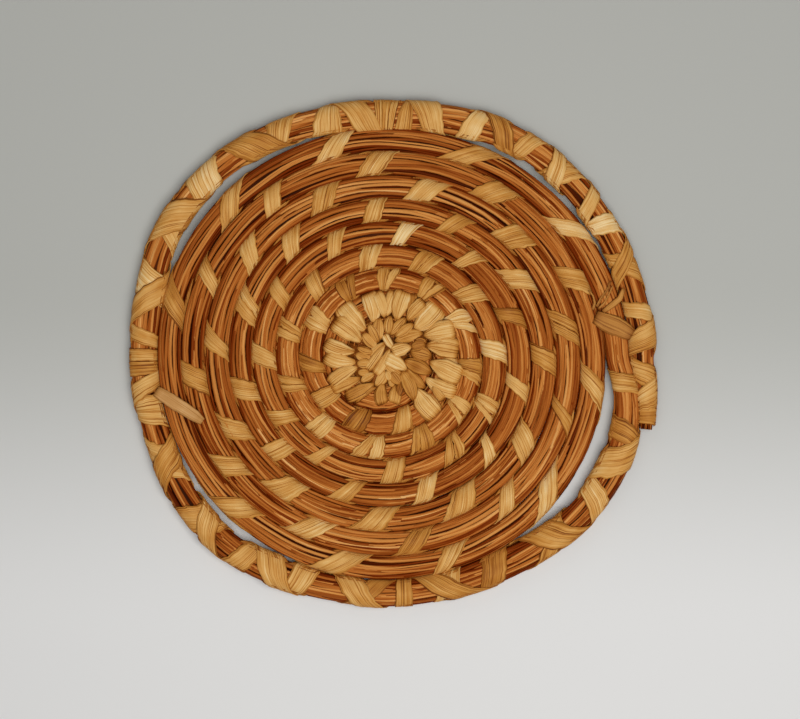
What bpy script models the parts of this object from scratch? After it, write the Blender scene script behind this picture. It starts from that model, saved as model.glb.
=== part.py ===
"""Basketry tray: a flat coiled tray of grass stalks sewn with pale leaf splints.

One long bundle of stalks is coiled clockwise from a knot in the middle, nine
turns side by side in a flat disc. Splints wind round each turn and hold it to
the turn inside. The bundle's tenth turn is the rim: it bows away from the disc
in four open crescents and is wrapped in two layers that cross.

The tray lies flat, +Z up, with its origin under the middle of the start knot.
A place along the bundle is a number of turns: whole turns end on the +X side,
and the angle falls as the turns rise, because the coil runs clockwise.
"""
import math

import bmesh
import bpy
from mathutils import Color, Vector

MM = 0.001

# The bundle and its coil
COIL_TURNS = 9
COIL_PITCH = 8.17 * MM
BUNDLE_HEIGHT = 6.1 * MM
START_TURN_SHARE = -0.30
START_WIDTH = 1.75 * MM
OVAL_GROWTH = 0.11 * MM
OVAL_ANGLE = math.radians(-20)
DRIFT_X = 1.55 * MM
DRIFT_Y = -1.3 * MM
SIDE_SLOPE = math.radians(60)

# The splints
SPLINT_THICKNESS = 0.35 * MM
CLEARANCE = 0.3 * MM
STITCH_WIDTH = 9.2 * MM
PASS_WIDTH = 6.5 * MM
STITCH_SPACING_SHARE = 0.0881
STITCH_LEAN_SHARE = 0.0250
LAST_STITCH_SHARE = 0.084
FIRST_STITCH_SHARE = 0.17
FRONT_WIDTH_SHARE = 0.50
MIDDLE_WIDTH_SHARE = 0.88
MIDDLE_TURNS = 3
PASS_WIDTH_SHARE = 0.26
BACK_WIDTH_SHARE = 0.40
FRONT_CORNER_SHARES = (0.33, 0.67)
BACK_CORNER_SHARES = (0.15, 0.85)

# The knot in the middle
KNOT_RADIUS = 2.6 * MM
KNOT_WAIST = 2.2 * MM
KNOT_SIDES = 16
KNOT_SHOULDER_SHARES = (0.25, 0.75)
KNOT_SPLINT_LENGTH = 6.6 * MM
KNOT_SPLINT_WIDTH = 2.6 * MM
KNOT_ANGLES = (math.radians(118), math.radians(52))

# The rim
RIM_WIDTH = 6.8 * MM
RIM_END_WIDTH = 5.0 * MM
JOIN_SHARE = 0.028
RIM_END_SHARE = 0.045
END_EASE_SHARE = 0.06
CRESCENT_OPENINGS = (6.1 * MM, 3.2 * MM, 3.0 * MM, 2.6 * MM)
CRESCENT_SPAN_SHARES = ((0.000, 0.225), (0.270, 0.470), (0.525, 0.755), (0.760, 0.980))
CRESCENT_PEAK_SHARES = (0.30, 0.50, 0.38, 0.38)

# The rim's wraps and lashings
WRAP_WIDTH = 6.4 * MM
WRAP_SPACING_SHARE = 0.0440
WRAP_LEAN_SHARE = 0.0170
WRAP_SPAN_SHARES = ((0.068, 0.214), (0.266, 0.472), (0.520, 0.725), (0.775, 0.972))
LASHING_SHARES = (0.238, 0.496, 0.750)
LASHING_LOOPS = (2, 3, 3)
LASHING_WIDTH = 2.7 * MM
END_WRAP_SHARE = 0.027
END_WRAP_LOOPS = 3
END_WRAP_WIDTH = 4.2 * MM

# The binding over the join and the loose tail
BINDING_WIDTH = 5.2 * MM
BINDING_LEAN_SHARE = 0.004
TAIL_TURN_SHARE = 0.525
TAIL_WIDTH = 4.8 * MM
TAIL_LENGTH = 15.0 * MM
TAIL_LIFT = 0.5 * MM
TAIL_LEAN = math.radians(52)
TAIL_ROW_SHARES = (0, 0.35, 0.7, 1)

# How finely round lines are cut into straight ones
CHORD_SAG = 0.12 * MM
END_RUN = 1.0 * MM
MERGE_DISTANCE = 0.01 * MM

# How the pitch and the least gap are surveyed
SURVEY_STEPS = 360
NEXT_TURN_SHARES = (0.7, 1.3)

LAYER = CLEARANCE + SPLINT_THICKNESS
FIRST_LAYER = CLEARANCE + SPLINT_THICKNESS / 2
SECOND_LAYER = LAYER + FIRST_LAYER
MID_HEIGHT = BUNDLE_HEIGHT / 2 + LAYER
RIM_HALF_HEIGHT = BUNDLE_HEIGHT / 2 - LAYER
SIDE_REACH = 1 / math.sin(SIDE_SLOPE)
FLAT_REACH = math.tan(SIDE_SLOPE / 2)
KNOT_CLEARANCE = LAYER * SIDE_REACH + CLEARANCE

# A place on the six-sided section: side (-1 inner, 1 outer) and level (1 top, -1 underside)
INNER = (-1, 0)
TOP_INNER = (-1, 1)
TOP_OUTER = (1, 1)
OUTER = (1, 0)
UNDER_OUTER = (1, -1)
UNDER_INNER = (-1, -1)

# Colours as they look, and how matt the dry fibre is
COLOURS = {
    "stalks": "A6642F",
    "rim_stalks": "AD6E3A",
    "splint": "DCB67A",
    "wrap_under": "CB9F65",
    "wrap_over": "E0BC82",
    "knot": "D7AF75",
    "binding": "AD784F",
    "tail": "D9AD86",
}
ROUGHNESS = 0.7


def turn_angle(turn):
    """Angle of a place along the bundle; the coil runs clockwise."""
    return -2 * math.pi * turn


def local_pitch(angle):
    """Distance from one turn to the next at an angle, oval and drift included."""
    drift = (DRIFT_X * math.cos(angle) + DRIFT_Y * math.sin(angle)) / COIL_TURNS
    return COIL_PITCH + OVAL_GROWTH * math.cos(2 * (angle - OVAL_ANGLE)) + drift


def tightest_pitch():
    """The smallest distance between turns, which the bundle has to fit."""
    return min(local_pitch(turn_angle(step / SURVEY_STEPS)) for step in range(SURVEY_STEPS))


BUNDLE_HALF = (tightest_pitch() - LAYER * SIDE_REACH - CLEARANCE) / 2
LAYERS_BETWEEN = LAYER + LAYER + LAYER
RIM_DISTANCE = BUNDLE_HALF + LAYERS_BETWEEN * SIDE_REACH + CLEARANCE + RIM_WIDTH / 2
END_DISTANCE = RIM_WIDTH / 2 + LAYER * SIDE_REACH + CLEARANCE + RIM_END_WIDTH / 2


def edge_radius(turn):
    """Outer edge of the round spiral, before the oval and the drift."""
    start_edge = KNOT_RADIUS + KNOT_CLEARANCE + START_WIDTH
    return start_edge + COIL_PITCH * (turn - START_TURN_SHARE)


def coil_half_width(turn):
    """Half the bundle's width: it starts thin beside the knot and fills out."""
    room = edge_radius(turn) - KNOT_RADIUS - KNOT_CLEARANCE
    return min(BUNDLE_HALF, room / 2)


def coil_half_height(turn):
    """Half the bundle's height, which fills out with its width."""
    return BUNDLE_HEIGHT / 2 * coil_half_width(turn) / BUNDLE_HALF


def coil_centre(turn):
    """Middle line of the coil at a number of turns."""
    angle = turn_angle(turn)
    oval = max(turn, 0) * OVAL_GROWTH * math.cos(2 * (angle - OVAL_ANGLE))
    radius = edge_radius(turn) - coil_half_width(turn) + oval
    drift = max(turn, 0) / COIL_TURNS
    x = radius * math.cos(angle) + DRIFT_X * drift
    y = radius * math.sin(angle) + DRIFT_Y * drift
    return Vector((x, y, MID_HEIGHT))


def ease(share):
    """Smooth step from 0 to 1."""
    share = min(max(share, 0.0), 1.0)
    return share * share * (3 - 2 * share)


def crescent_opening(share):
    """How far the rim bows out at a share of its turn."""
    opening = 0.0
    for size, span, peak in zip(CRESCENT_OPENINGS, CRESCENT_SPAN_SHARES, CRESCENT_PEAK_SHARES):
        along = (share - span[0]) / (span[1] - span[0])
        if 0 < along < 1:
            skewed = along ** (math.log(0.5) / math.log(peak))
            opening += size * math.sin(math.pi * skewed) ** 2
    return opening


def rim_centre(turn):
    """Middle line of the rim, which lies outside the turn before it."""
    share = turn - COIL_TURNS
    before = turn - 1
    inner_line = rim_centre(before) if share > 1 else coil_centre(before)
    angle = turn_angle(turn)
    outward = Vector((math.cos(angle), math.sin(angle), 0))
    leave = ease(share / END_EASE_SHARE)
    distance = local_pitch(angle) + (RIM_DISTANCE - local_pitch(angle)) * leave
    settle = ease((share - 1 - RIM_END_SHARE + END_EASE_SHARE) / END_EASE_SHARE)
    distance += (END_DISTANCE - RIM_DISTANCE) * settle
    return inner_line + outward * (distance + crescent_opening(share))


def rim_half_width(turn):
    """Half the rim's width: it starts as wide as the coil and thins over its last stretch."""
    share = turn - COIL_TURNS
    leave = ease(share / END_EASE_SHARE)
    thin = ease((share - 1 - RIM_END_SHARE + END_EASE_SHARE) / END_EASE_SHARE)
    width = RIM_WIDTH + (RIM_END_WIDTH - RIM_WIDTH) * thin
    return BUNDLE_HALF + (width / 2 - BUNDLE_HALF) * leave


def rim_half_height(turn):
    """Half the rim's height, which follows its width."""
    return RIM_HALF_HEIGHT * rim_half_width(turn) / (RIM_WIDTH / 2)


COIL = (coil_centre, coil_half_width, coil_half_height)
RIM = (rim_centre, rim_half_width, rim_half_height)


def tangent_at(centre, turn):
    """Direction along the bundle."""
    step = CHORD_SAG / COIL_PITCH / COIL_TURNS
    return (centre(turn + step) - centre(turn - step)).normalized()


def outward_at(centre, turn):
    """Level direction away from the middle, square to the bundle."""
    tangent = tangent_at(centre, turn)
    return Vector((-tangent.y, tangent.x, 0))


def section_place(half_width, half_height, place, offset):
    """A corner of the section, moved out square to its faces by an offset."""
    side, level = place
    if level == 0:
        return side * (half_width + offset * SIDE_REACH), 0.0
    flat = half_width - half_height / math.tan(SIDE_SLOPE)
    return side * (flat + offset * FLAT_REACH), level * (half_height + offset)


def place_on(bundle, turn, place, offset):
    """A point over a corner of the bundle's section."""
    centre, half_width, half_height = bundle
    across, up = section_place(half_width(turn), half_height(turn), place, offset)
    return centre(turn) + outward_at(centre, turn) * across + Vector((0, 0, up))


def clear_scene():
    """Remove what the file holds."""
    for item in list(bpy.data.objects):
        bpy.data.objects.remove(item, do_unlink=True)


def make_collection(name):
    """A collection in the scene."""
    collection = bpy.data.collections.new(name)
    bpy.context.scene.collection.children.link(collection)
    return collection


def linear_colour(code):
    """A colour code of six hexadecimal figures as linear red, green and blue."""
    colour = Color([channel / 255 for channel in bytes.fromhex(code)])
    return tuple(colour.from_srgb_to_scene_linear())


def make_material(name, code):
    """A plain dry fibre finish."""
    colour = linear_colour(code)
    material = bpy.data.materials.new(name)
    material.use_nodes = True
    shader = material.node_tree.nodes["Principled BSDF"]
    shader.inputs["Base Color"].default_value = (*colour, 1)
    shader.inputs["Roughness"].default_value = ROUGHNESS
    shader.inputs["Metallic"].default_value = 0
    material.diffuse_color = (*colour, 1)
    return material


def section_guide(name, half_width, half_height, guides):
    """The bundle's six-sided section, as a guide for its tube."""
    places = (INNER, TOP_INNER, TOP_OUTER, OUTER, UNDER_OUTER, UNDER_INNER)
    outline = bpy.data.curves.new(name, "CURVE")
    outline.dimensions = "2D"
    outline.fill_mode = "NONE"
    spline = outline.splines.new("POLY")
    spline.points.add(len(places) - 1)
    for point, place in zip(spline.points, places):
        across, up = section_place(half_width, half_height, place, 0)
        point.co = (across, up, 0, 1)
    spline.use_cyclic_u = True
    guide = bpy.data.objects.new(name, outline)
    guide.hide_render = True
    guide.display_type = "WIRE"
    guides.objects.link(guide)
    return guide


def line_turns(centre, first, last):
    """Places along a line, each chord within CHORD_SAG, with a short run at each cut end."""
    turns = [first]
    while turns[-1] < last:
        radius = max(centre(turns[-1]).xy.length, KNOT_RADIUS)
        turns.append(turns[-1] + math.acos(1 - CHORD_SAG / radius) / math.pi)
    stretch = (last - first) / (turns[-1] - first)
    turns = [first + (turn - first) * stretch for turn in turns]
    runs = [END_RUN / (2 * math.pi * centre(turn).xy.length) for turn in (first, last)]
    return [first, first + runs[0], *turns[1:-1], last - runs[1], last]


def tube(name, bundle, turns, full, guide, material, parts):
    """The bundle as one unbroken tube along its middle line; full is the guide's half width."""
    centre, half_width, _ = bundle
    line = bpy.data.curves.new(name, "CURVE")
    line.dimensions = "3D"
    line.twist_mode = "Z_UP"
    line.bevel_mode = "OBJECT"
    line.bevel_object = guide
    line.use_fill_caps = True
    line.render_resolution_u = 0
    spline = line.splines.new("POLY")
    spline.points.add(len(turns) - 1)
    for point, turn in zip(spline.points, turns):
        point.co = (*centre(turn), 1)
        point.radius = half_width(turn) / full
    line.materials.append(material)
    item = bpy.data.objects.new(name, line)
    parts.objects.link(item)
    return item


def ribbon(name, rows, material, parts):
    """A splint: a grid one face wide, laid along rows of two points, then thickened."""
    mesh = bpy.data.meshes.new(name)
    grid = bmesh.new()
    bmesh.ops.create_grid(grid, x_segments=1, y_segments=len(rows) - 1, size=SPLINT_THICKNESS)
    grid.verts.ensure_lookup_table()
    corners = [corner for row in rows for corner in row]
    for vertex, corner in zip(grid.verts, corners):
        vertex.co = corner
    grid.to_mesh(mesh)
    grid.free()
    mesh.materials.append(material)
    item = bpy.data.objects.new(name, mesh)
    parts.objects.link(item)
    shell = item.modifiers.new("Thickness", "SOLIDIFY")
    shell.thickness = SPLINT_THICKNESS
    shell.offset = 0
    shell.use_even_offset = True
    shell.use_quality_normals = True
    return item


def row_on(bundle, turn, place, offset, width):
    """A ribbon's two edges where it crosses a corner line of the bundle."""
    centre = bundle[0]
    radius = centre(turn).xy.length
    half = width / 2 / (2 * math.pi * radius)
    return [place_on(bundle, turn + end * half, place, offset) for end in (-1, 1)]


def stitch_widths(turn):
    """Widths of a stitch along the bundle: on the front, at the sides and on the back.

    Near the middle the stitches open like petals until they nearly touch.
    """
    spacing = 2 * math.pi * coil_centre(turn).xy.length * STITCH_SPACING_SHARE
    closeness = max(1 - max(turn, 0) / MIDDLE_TURNS, 0)
    front_share = FRONT_WIDTH_SHARE + (MIDDLE_WIDTH_SHARE - FRONT_WIDTH_SHARE) * closeness
    front = min(STITCH_WIDTH, spacing * front_share)
    passing = min(PASS_WIDTH, spacing * PASS_WIDTH_SHARE)
    back = min(STITCH_WIDTH, spacing * BACK_WIDTH_SHARE)
    return front, passing, back


def stitch_ends(row):
    """Places where the splint of a row comes out on the outer side."""
    last = COIL_TURNS - LAST_STITCH_SHARE
    first = START_TURN_SHARE + FIRST_STITCH_SHARE + STITCH_LEAN_SHARE
    ends = []
    count = 0
    while last - count * STITCH_SPACING_SHARE > first:
        end = last - count * STITCH_SPACING_SHARE
        if math.ceil(end) == row or (row == 1 and end <= 0):
            ends.append(end)
        count += 1
    return ends[::-1]


def sewing_strip(row, material, parts):
    """One splint wound round one turn: over the front, down the gap and back under.

    The last turn's splint stops at the outer edge, short of the join's binding.
    """
    rows = []
    lean = STITCH_LEAN_SHARE
    back = STITCH_SPACING_SHARE - lean
    outer_share, inner_share = FRONT_CORNER_SHARES
    for end in stitch_ends(row):
        front_width, pass_width, back_width = stitch_widths(end)
        path = (
            (end - lean, INNER, pass_width),
            (end - lean * inner_share, TOP_INNER, front_width),
            (end - lean * outer_share, TOP_OUTER, front_width),
            (end, OUTER, pass_width),
            (end + back * BACK_CORNER_SHARES[0], UNDER_OUTER, back_width),
            (end + back * BACK_CORNER_SHARES[1], UNDER_INNER, back_width),
        )
        for turn, place, width in path:
            rows.append(row_on(COIL, turn, place, FIRST_LAYER, width))
    if row == COIL_TURNS:
        rows.pop()
    ribbon(f"sewing_strip_{row:02d}", rows, material, parts)


def wrap_rows(first, count, places, offset):
    """A splint wound round the rim a number of times: it leans one way over each face."""
    face = len(places) // 2
    back_lean = WRAP_SPACING_SHARE - WRAP_LEAN_SHARE
    rows = []
    for wrap in range(count):
        start = first + wrap * WRAP_SPACING_SHARE
        turns = [start + WRAP_LEAN_SHARE * part / face for part in range(face)]
        turns += [start + WRAP_LEAN_SHARE + back_lean * part / face for part in range(face)]
        rows += [row_on(RIM, turn, place, offset, WRAP_WIDTH) for turn, place in zip(turns, places)]
    return rows[:-1]


def rim_wraps(material_under, material_over, parts):
    """The rim's two layers of wraps, which cross on the front and on the back."""
    inward = (OUTER, TOP_OUTER, TOP_INNER, INNER, UNDER_INNER, UNDER_OUTER)
    outward = (INNER, TOP_INNER, TOP_OUTER, OUTER, UNDER_OUTER, UNDER_INNER)
    back_lean = WRAP_SPACING_SHARE - WRAP_LEAN_SHARE
    for number, (first, last) in enumerate(WRAP_SPAN_SHARES, 1):
        length = last - first + back_lean
        count = int(length / WRAP_SPACING_SHARE)
        start = COIL_TURNS + first + (length - count * WRAP_SPACING_SHARE) / 2
        under = wrap_rows(start, count, outward, FIRST_LAYER)
        over = wrap_rows(start, count, inward, SECOND_LAYER)
        ribbon(f"rim_wrap_under_{number}", under, material_under, parts)
        ribbon(f"rim_wrap_over_{number}", over, material_over, parts)


def loops_round(name, bundle, middle, loops, width, material, parts):
    """A splint wound a few times round the bundle, each loop beside the last."""
    places = (UNDER_INNER, INNER, TOP_INNER, TOP_OUTER, OUTER, UNDER_OUTER)
    step = (width + CLEARANCE) / (2 * math.pi * bundle[0](middle).xy.length)
    rows = []
    for number in range(loops * len(places) - 1):
        turn = middle + step * ((number + 1) / len(places) - loops / 2)
        rows.append(row_on(bundle, turn, places[number % len(places)], FIRST_LAYER, width))
    ribbon(name, rows, material, parts)


def lashings(material, parts):
    """The splints that bind the rim where it touches the disc, and its end."""
    for number, (share, loops) in enumerate(zip(LASHING_SHARES, LASHING_LOOPS), 1):
        loops_round(f"rim_lashing_{number}", RIM, COIL_TURNS + share, loops, LASHING_WIDTH, material, parts)
    middle = COIL_TURNS + 1 + END_WRAP_SHARE
    loops_round("rim_end_wrap", RIM, middle, END_WRAP_LOOPS, END_WRAP_WIDTH, material, parts)


def join_binding(material, parts):
    """The brown splint that is tied round the bundle where it leaves the disc."""
    places = (UNDER_INNER, INNER, TOP_INNER, TOP_OUTER, OUTER, UNDER_OUTER)
    middle = COIL_TURNS - JOIN_SHARE
    rows = []
    for number, place in enumerate(places):
        turn = middle - BINDING_LEAN_SHARE * (number / (len(places) - 1) - 0.5)
        rows.append(row_on(COIL, turn, place, FIRST_LAYER, BINDING_WIDTH))
    ribbon("join_binding", rows, material, parts)


def loose_tail(material, parts):
    """The torn end of a splint that lies over the outer turn on the left."""
    root_turn = COIL_TURNS - TAIL_TURN_SHARE
    outward = outward_at(coil_centre, root_turn)
    tangent = tangent_at(coil_centre, root_turn)
    along = (-outward * math.cos(TAIL_LEAN) - tangent * math.sin(TAIL_LEAN)).normalized()
    side = Vector((along.y, -along.x, 0)) * TAIL_WIDTH / 2
    root = place_on(COIL, root_turn, TOP_OUTER, SECOND_LAYER)
    rows = []
    for share in TAIL_ROW_SHARES:
        lift = Vector((0, 0, TAIL_LIFT * share * share))
        middle = root + along * TAIL_LENGTH * share + lift
        rows.append([middle - side, middle + side])
    ribbon("loose_tail", rows, material, parts)


def start_knot(material, parts):
    """The knot that the coil starts from, drawn in at its waist."""
    top = BUNDLE_HEIGHT
    lower_share, upper_share = KNOT_SHOULDER_SHARES
    profile = bpy.data.meshes.new("start_knot")
    outline = bmesh.new()
    points = (
        (0, top),
        (KNOT_WAIST, top),
        (KNOT_RADIUS, top - SPLINT_THICKNESS),
        (KNOT_RADIUS, BUNDLE_HEIGHT * upper_share),
        (KNOT_WAIST, MID_HEIGHT),
        (KNOT_RADIUS, BUNDLE_HEIGHT * lower_share),
        (KNOT_RADIUS, 0),
        (0, 0),
    )
    corners = [outline.verts.new((x, 0, z)) for x, z in points]
    for first, second in zip(corners, corners[1:]):
        outline.edges.new((first, second))
    outline.to_mesh(profile)
    outline.free()
    profile.materials.append(material)
    item = bpy.data.objects.new("start_knot", profile)
    parts.objects.link(item)
    turning = item.modifiers.new("Turned", "SCREW")
    turning.steps = KNOT_SIDES
    turning.render_steps = KNOT_SIDES
    turning.use_merge_vertices = True
    turning.merge_threshold = MERGE_DISTANCE


def knot_splints(material, parts):
    """Two short splints that cross over the knot."""
    for number, angle in enumerate(KNOT_ANGLES, 1):
        along = Vector((math.cos(angle), math.sin(angle), 0))
        side = Vector((-along.y, along.x, 0)) * KNOT_SPLINT_WIDTH / 2
        height = BUNDLE_HEIGHT + FIRST_LAYER + (number - 1) * LAYER
        rows = []
        for share in (-0.5, 0, 0.5):
            middle = along * KNOT_SPLINT_LENGTH * share + Vector((0, 0, height))
            rows.append([middle - side, middle + side])
        ribbon(f"knot_splint_{number}", rows, material, parts)


def segment_distance(point, start, end):
    """Distance from a point to a straight stretch of the line."""
    run = end - start
    share = (point - start).dot(run) / run.length_squared
    share = min(max(share, 0.0), 1.0)
    return (point - start - run * share).length


def print_least_gap(turns):
    """Measure the coil against itself on its points and print the least gap."""
    points = [coil_centre(turn) for turn in turns]
    least = COIL_PITCH
    nearest, furthest = NEXT_TURN_SHARES
    for index, turn in enumerate(turns):
        for other in range(index + 1, len(turns) - 1):
            if not nearest < turns[other] - turn < furthest:
                continue
            apart = segment_distance(points[index], points[other], points[other + 1])
            gap = apart - coil_half_width(turn) - coil_half_width(turns[other])
            least = min(least, gap)
    print(f"coil: {len(turns)} points, least gap to itself {least / MM:.2f} mm")


def main():
    """Build every piece of the tray."""
    clear_scene()
    parts = make_collection("basketry_tray")
    guides = make_collection("guides")
    finish = {name: make_material(name, code) for name, code in COLOURS.items()}

    coil_turns = line_turns(coil_centre, START_TURN_SHARE, COIL_TURNS - JOIN_SHARE)
    print_least_gap(coil_turns)
    coil_guide = section_guide("coil_section", BUNDLE_HALF, BUNDLE_HEIGHT / 2, guides)
    tube("coil_bundle", COIL, coil_turns, BUNDLE_HALF, coil_guide, finish["stalks"], parts)

    radius = rim_centre(COIL_TURNS).xy.length
    rim_start = COIL_TURNS - JOIN_SHARE + CLEARANCE / (2 * math.pi * radius)
    rim_turns = line_turns(rim_centre, rim_start, COIL_TURNS + 1 + RIM_END_SHARE)
    rim_guide = section_guide("rim_section", RIM_WIDTH / 2, RIM_HALF_HEIGHT, guides)
    tube("rim_bundle", RIM, rim_turns, RIM_WIDTH / 2, rim_guide, finish["rim_stalks"], parts)

    for row in range(1, COIL_TURNS + 1):
        sewing_strip(row, finish["splint"], parts)
    rim_wraps(finish["wrap_under"], finish["wrap_over"], parts)
    lashings(finish["wrap_over"], parts)
    join_binding(finish["binding"], parts)
    loose_tail(finish["tail"], parts)
    start_knot(finish["knot"], parts)
    knot_splints(finish["splint"], parts)


main()
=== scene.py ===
"""Looks of the basketry tray: grass stalks sewn with pale leaf splints.

The CAD frame gives the tray's pieces and their places. This script dresses them.
Every stalk of the bundle is a thin tube of its own, laid side by side with its
neighbours and drawn in under each stitch. Every splint is a thin creased strip that
comes up out of one gap, lies over the bundle and goes down into the next gap.

A place along the bundle is a number of turns from the knot, as in the CAD: whole
turns end on the right and the coil runs clockwise. Tables give places in degrees,
anticlockwise from the right about the middle of the disc, as seen from above. Each
table row was read from the photograph.
"""

import logging
import math
from dataclasses import dataclass, field, replace
from enum import Enum

import bpy
import numpy as np
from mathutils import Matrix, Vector

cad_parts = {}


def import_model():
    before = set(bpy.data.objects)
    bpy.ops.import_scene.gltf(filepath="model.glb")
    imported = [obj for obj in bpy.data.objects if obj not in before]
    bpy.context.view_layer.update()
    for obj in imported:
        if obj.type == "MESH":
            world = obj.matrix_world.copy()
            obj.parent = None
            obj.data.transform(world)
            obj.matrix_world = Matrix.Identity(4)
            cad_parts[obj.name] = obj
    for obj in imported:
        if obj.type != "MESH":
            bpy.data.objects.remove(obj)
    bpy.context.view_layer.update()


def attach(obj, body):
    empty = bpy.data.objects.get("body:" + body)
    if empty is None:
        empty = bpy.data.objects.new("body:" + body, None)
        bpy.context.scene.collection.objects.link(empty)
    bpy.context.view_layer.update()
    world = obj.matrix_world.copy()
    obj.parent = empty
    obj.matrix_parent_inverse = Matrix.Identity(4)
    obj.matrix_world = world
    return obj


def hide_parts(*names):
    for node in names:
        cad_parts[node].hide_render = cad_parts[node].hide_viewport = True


MM = 0.001
TAU = 2 * math.pi
BODY = "root"

# Rise of the tone towards the far side, per metre, as painted light and shade: there the disc is
# drawn darker and the rim paler
DISC_PAINTED_LIGHT_TILT = -0.55
RIM_PAINTED_LIGHT_TILT = 0.95

# Range of the seeds that give each stalk and splint a grain of its own
GRAIN_SEEDS = (0, 500)

Material = bpy.types.Material
Tree = bpy.types.NodeTree
Socket = bpy.types.NodeSocket
Pair = tuple[float, float]
Row = tuple[float, ...]
Rows = tuple[Row, ...]
Edges = tuple[np.ndarray, np.ndarray]
Grain = tuple[np.ndarray | float, ...]
Stops = tuple[tuple[float, str], ...]

log = logging.getLogger("basketry_tray")


def linear(code: str) -> tuple[float, float, float, float]:
    """Turn an sRGB colour code into linear colour.

    Args:
        code: six hexadecimal figures, two for each of red, green and blue.

    Returns:
        Linear red, green, blue and an alpha of 1.
    """
    shares = [value / 255 for value in bytes.fromhex(code)]
    lit = [v / 12.92 if v <= 0.04045 else ((v + 0.055) / 1.055) ** 2.4 for v in shares]
    return lit[0], lit[1], lit[2], 1.0


def ease(share: np.ndarray | float) -> np.ndarray:
    """Smooth step from 0 to 1 over a share from 0 to 1."""
    share = np.clip(share, 0, 1)
    return share * share * (3 - 2 * share)


def add_node(
    tree: Tree,
    kind: str,
    settings: dict[str | int, object] | None = None,
    links: dict[str | int, Socket] | None = None,
) -> bpy.types.Node:
    """Add a node with its settings and links.

    Args:
        tree: the node tree that takes it.
        kind: the node's type name.
        settings: input sockets, by name or number, and the node's own properties. The
            name "stops" sets a colour ramp's places and colour codes.
        links: for an input socket, by name or number, the output that feeds it.

    Returns:
        The new node.
    """
    node = tree.nodes.new(kind)
    for name, value in (settings or {}).items():
        if name == "stops":
            ramp = node.color_ramp
            while len(ramp.elements) < len(value):
                ramp.elements.new(1)
            for element, (place, code) in zip(ramp.elements, value):
                element.position = place
                element.color = linear(code)
        elif isinstance(name, int) or name in node.inputs:
            node.inputs[name].default_value = value
        else:
            setattr(node, name, value)
    for name, source in (links or {}).items():
        tree.links.new(source, node.inputs[name])
    return node


# Finishes


def new_material(name: str) -> tuple[Material, Tree, bpy.types.Node]:
    """Make a material.

    Args:
        name: its name.

    Returns:
        The material, its node tree and its shader.
    """
    material = bpy.data.materials.new(name)
    material.use_nodes = True
    return material, material.node_tree, material.node_tree.nodes["Principled BSDF"]


def scaled(tree: Tree, value: Socket, scale: float, plus: Socket | float) -> Socket:
    """Multiply an output, and add a number or another output.

    Args:
        tree: the node tree that takes it.
        value: the output.
        scale: what multiplies it.
        plus: what is added.

    Returns:
        The new output.
    """
    settings, links = {"operation": "MULTIPLY_ADD", 1: scale}, {0: value}
    (links if isinstance(plus, Socket) else settings)[2] = plus
    return add_node(tree, "ShaderNodeMath", settings, links).outputs["Value"]


def noise(
    tree: Tree, grain: Socket, length: float, width: float, detail: float, rough: float = 0.5
) -> Socket:
    """Noise whose patches are drawn out along the fibres.

    Args:
        tree: the node tree that takes it.
        grain: millimetres along and across the fibres, and a seed.
        length: of a patch, along the fibres.
        width: of a patch, or infinity where nothing changes across.
        detail: how many finer octaves it has.
        rough: how strong those are.

    Returns:
        The noise, from 0 to 1.
    """
    settings = {"operation": "MULTIPLY", 1: (MM / length, MM / width, 1)}
    place = add_node(tree, "ShaderNodeVectorMath", settings, {0: grain}).outputs["Vector"]
    settings = {"Scale": 1, "Detail": detail, "Roughness": rough}
    return add_node(tree, "ShaderNodeTexNoise", settings, {"Vector": place}).outputs["Fac"]


@dataclass(frozen=True)
class FibreFinish:
    """What stalk and splint share: each piece has fibres, a tone of its own and darker ends and
    edges.

    The pattern of the fibres shifts the tone. Ends and edges are darker, partly dirt and partly
    painted shade where they go down between the turns. The stops turn the tone into a colour.
    """

    name: str
    stops: Stops
    roughness: float
    gloss: float
    gloss_tint: str
    relief: float
    relief_depth: float
    shade_and_wear_darkening: float

    def pattern(self, tree: Tree, grain: Socket) -> tuple[Socket, Socket]:
        """Draw the pattern of the fibres, which each finish has of its own.

        Args:
            tree: the node tree that takes it.
            grain: millimetres along and across the fibres, and a seed.

        Returns:
            The shift of the tone, and the height of the relief.
        """
        raise NotImplementedError

    def material(self) -> Material:
        """Build the material.

        Returns:
            The material, with its nodes.
        """
        material, tree, shader = new_material(self.name)
        grain, tone, worn = (
            add_node(tree, "ShaderNodeAttribute", {"attribute_name": name}).outputs[output]
            for name, output in (("grain", "Vector"), ("tone", "Fac"), ("worn", "Fac"))
        )
        shift, height = self.pattern(tree, grain)
        # Darker ends and edges lower the tone: partly dirt, partly painted shade
        place = scaled(tree, worn, -self.shade_and_wear_darkening, scaled(tree, tone, 1, shift))
        ramp = add_node(tree, "ShaderNodeValToRGB", {"stops": self.stops}, {"Fac": place})
        settings = {"Strength": self.relief, "Distance": self.relief_depth}
        bump = add_node(tree, "ShaderNodeBump", settings, {"Height": height})
        tree.links.new(ramp.outputs["Color"], shader.inputs["Base Color"])
        tree.links.new(bump.outputs["Normal"], shader.inputs["Normal"])
        shader.inputs["Roughness"].default_value = self.roughness
        shader.inputs["Specular IOR Level"].default_value = self.gloss
        shader.inputs["Specular Tint"].default_value = linear(self.gloss_tint)
        return material


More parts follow.
